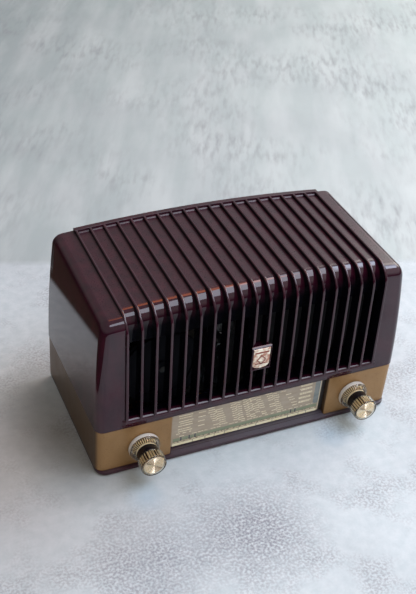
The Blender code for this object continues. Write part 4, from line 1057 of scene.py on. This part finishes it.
def makeBadge():
    half, low, high, front = (badge[key] for key in ("half", "low", "high", "front"))
    outline = [(-0.1, low), (front + 1.0, low), (front, low + 1.0), (front, high - 2.4),
               (front + 1.2, high - 1.2), (0.3, high)]
    ends = [(-half, 1.0), (-half + 0.3, 0.4), (-half + 1.0, 0.0)]
    ends += [(-x, inset) for x, inset in ends[::-1]]
    rings = [[(x, max(y, front + inset), z) for y, z in outline] for x, inset in ends]
    block = makePiece("badge_plaque", loft(bmesh.new(), rings), None, None)
    recess = blockTool((1.2 - half, front - 2, low + 1.8), (half - 1.2, front + 1.5, high - 2.2))
    seat = blockTool((-half - 1, ridgeY(low) - c["gap"], low - 2), (half + 1, 3, high + 2))
    carve(block, [recess, seat])
    middle = c["finPitch"] / 2 - c["finThick"] / 2 - 1.0
    carve(block, [blockTool((-middle, ridgeY(low) - 1.0, low + 3), (middle, 9.0, high - 4))], "UNION")
    block.data.materials.clear()
    block.data.materials.append(phenolic)
    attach(block, case)
    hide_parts("badge_block")
    softenEdges(block, 0.25, 2)
    pearl = pearlInlay()
    back, z = front + 1.4, (low + high) / 2 - 0.3
    shield = []
    w, top, foot = half - 1.5, high - 2.5, low + 2.2
    for k in range(13):
        a = pi + pi * k / 12
        shield.append((w * cos(a), foot + w * 0.55 + w * 0.55 * sin(a)))
    shield += [(w, top), (-w, top)]
    rings = []
    for y, share in ((back, 1.0), (back - 0.7, 1.0), (back - 1.1, 0.97), (back - 1.2, 0.92)):
        rings.append([(x * share, y, z + (h - z) * share) for x, h in shield])
    makePiece("badge_pearl_inlay", loft(bmesh.new(), rings), pearl, case, ["badge_emblem"], "brass")
    rose = plainMetal("enamel_rose_on_gold", "#8a4a42", "#a4655a", 0.4, 2.0)
    bars = bmesh.new()
    for z0, z1, w in ((high - 7.3, high - 5.9, 6.6), (low + 7.0, low + 7.9, 5.6)):
        addBlock(bars, (-w, back - 1.45, z0), (w, back - 1.0, z1))
    y = back - 1.45
    outer = [(4.6, z - 1.2), (0, z + 4.0), (-4.6, z - 1.2), (0, z - 6.2)]
    inner = [(x * 0.76, z - 1.15 + (h - z + 1.15) * 0.76) for x, h in outer]
    for i in range(4):
        j = (i + 1) % 4
        quad = [outer[i], outer[j], inner[j], inner[i]]
        loft(bars, [[(x, y, h) for x, h in quad], [(x, y + 0.45, h) for x, h in quad]])
    makePiece("badge_rose_lines", bars, rose, case, (), "brass", soft=0)
    diamond = []
    for y, share in ((back - 1.1, 0.72), (back - 1.5, 0.66), (back - 1.9, 0.25)):
        diamond.append([(-4.6 * share, y, z - 1.15), (0, y, z - 1.15 - 5.1 * share),
                        (4.6 * share, y, z - 1.15), (0, y, z - 1.15 + 5.1 * share)])
    makePiece("badge_diamond", loft(bmesh.new(), diamond), pearl, case, (), "brass", soft=20)


def pearlInlay():
    # Gold-plated casting under clear lacquer: pale, warm and bright, with rosy clouds where the plating is
    # thin.
    made, tree, shader, place = startMaterial("plated_gold_pearly", "#f3e6c8", 0.22, 0.5)
    body, cloud = mottle(tree, place, 5.0, "#b98672", "#fff6e2", 3.0, (0.40, 0.60))
    swell = addNode(tree, "TexNoise", {"Scale": 1000 / 3.0, "Detail": 2.0}, {"Vector": place})
    cast = addNode(tree, "Bump", {"Strength": 0.7, "Distance": 0.5 / 1000}, {"Height": swell})
    connect(tree, shader, {"Base Color": body, "Normal": cast})
    return made


print("badge")
makeBadge()

# Finishes on the carried-over pieces


def finishTheRest():
    # Inside the cabinet the zinc and the valve glass are painted much darker and the black phenolic navy:
    # painted shade of the closed case.
    zincShaded = plainMetal("steel_zinc_darkened_as_shade", "#4a4b4b", "#5b5b58", 0.5, 3.0)
    drawn = plainMetal("aluminium_drawn", "#bfc1c3", "#cfd0d1", 0.3, 2.0, (1.0, 1.0, 0.1))
    brassTurned = plainMetal("brass_turned", "#b8924f", "#c9a562", 0.3, 1.5)
    black = dullSolid("phenolic_black_dusty_shade_tinted", "#03040a", "#06070e", 0.7, 2.0, 0.03, Specular_IOR_Level=0.2)
    board = dullSolid("hardboard_pressed", "#5d4431", "#6d523c", 0.7, 1.2, 0.05)
    cloth = wovenCloth("speaker_cloth_woven", "#060608", "#0d0d10", 1.4)
    conePaper = dullSolid("cone_paper_felted", "#3a3733", "#45413c", 0.95, 0.8, 0.05)
    glass, tree, shader, place = startMaterial("valve_glass_darkened_as_shade", "#39424a", 0.03, IOR=1.5,
                                               Transmission_Weight=0.92)
    glossNoise = addNode(tree, "TexNoise", {"Scale": 1000 / 8.0, "Detail": 3.0}, {"Vector": place})
    uneven = {1: 0.3, 2: 0.7, 3: 0.02, 4: 0.08}
    connect(tree, shader, {"Roughness": addNode(tree, "MapRange", uneven, {0: glossNoise})})
    cord = dullSolid("cord_braided_waxed", "#a3977d", "#8b8068", 0.8, 0.5, 0.05)
    rubber = dullSolid("rubber_moulded_black", "#0d0d0d", "#161616", 0.85, 1.0, 0.03)
    lacquer = bpy.data.materials["lacquer_stoved_gold_brown"]
    bySlot = {"zinc_steel": zincShaded, "aluminium": drawn, "brass": brassTurned, "black_phenolic": black,
              "hardboard": board, "speaker_cloth": cloth, "cone_paper": conePaper, "valve_glass": glass,
              "braided_cord": cord, "rubber": rubber, "gold_lacquer": lacquer, "bakelite": phenolic,
              "clear_acrylic": bpy.data.materials["acrylic_turned_clear"],
              "dial_print": bpy.data.materials["dial_lacquer_taupe"]}
    for part in frame["record"]["subparts"]:
        node = frame["nodes"][part["node"]]
        node.data.materials.clear()
        # the capacitor's rotor takes the darkened zinc too, as painted shade
        slot = "zinc_steel" if part["node"] == "capacitor_rotor" else part["material_slot"]
        node.data.materials.append(bySlot[slot])


print("finishes")
finishTheRest()

# End

print("done")
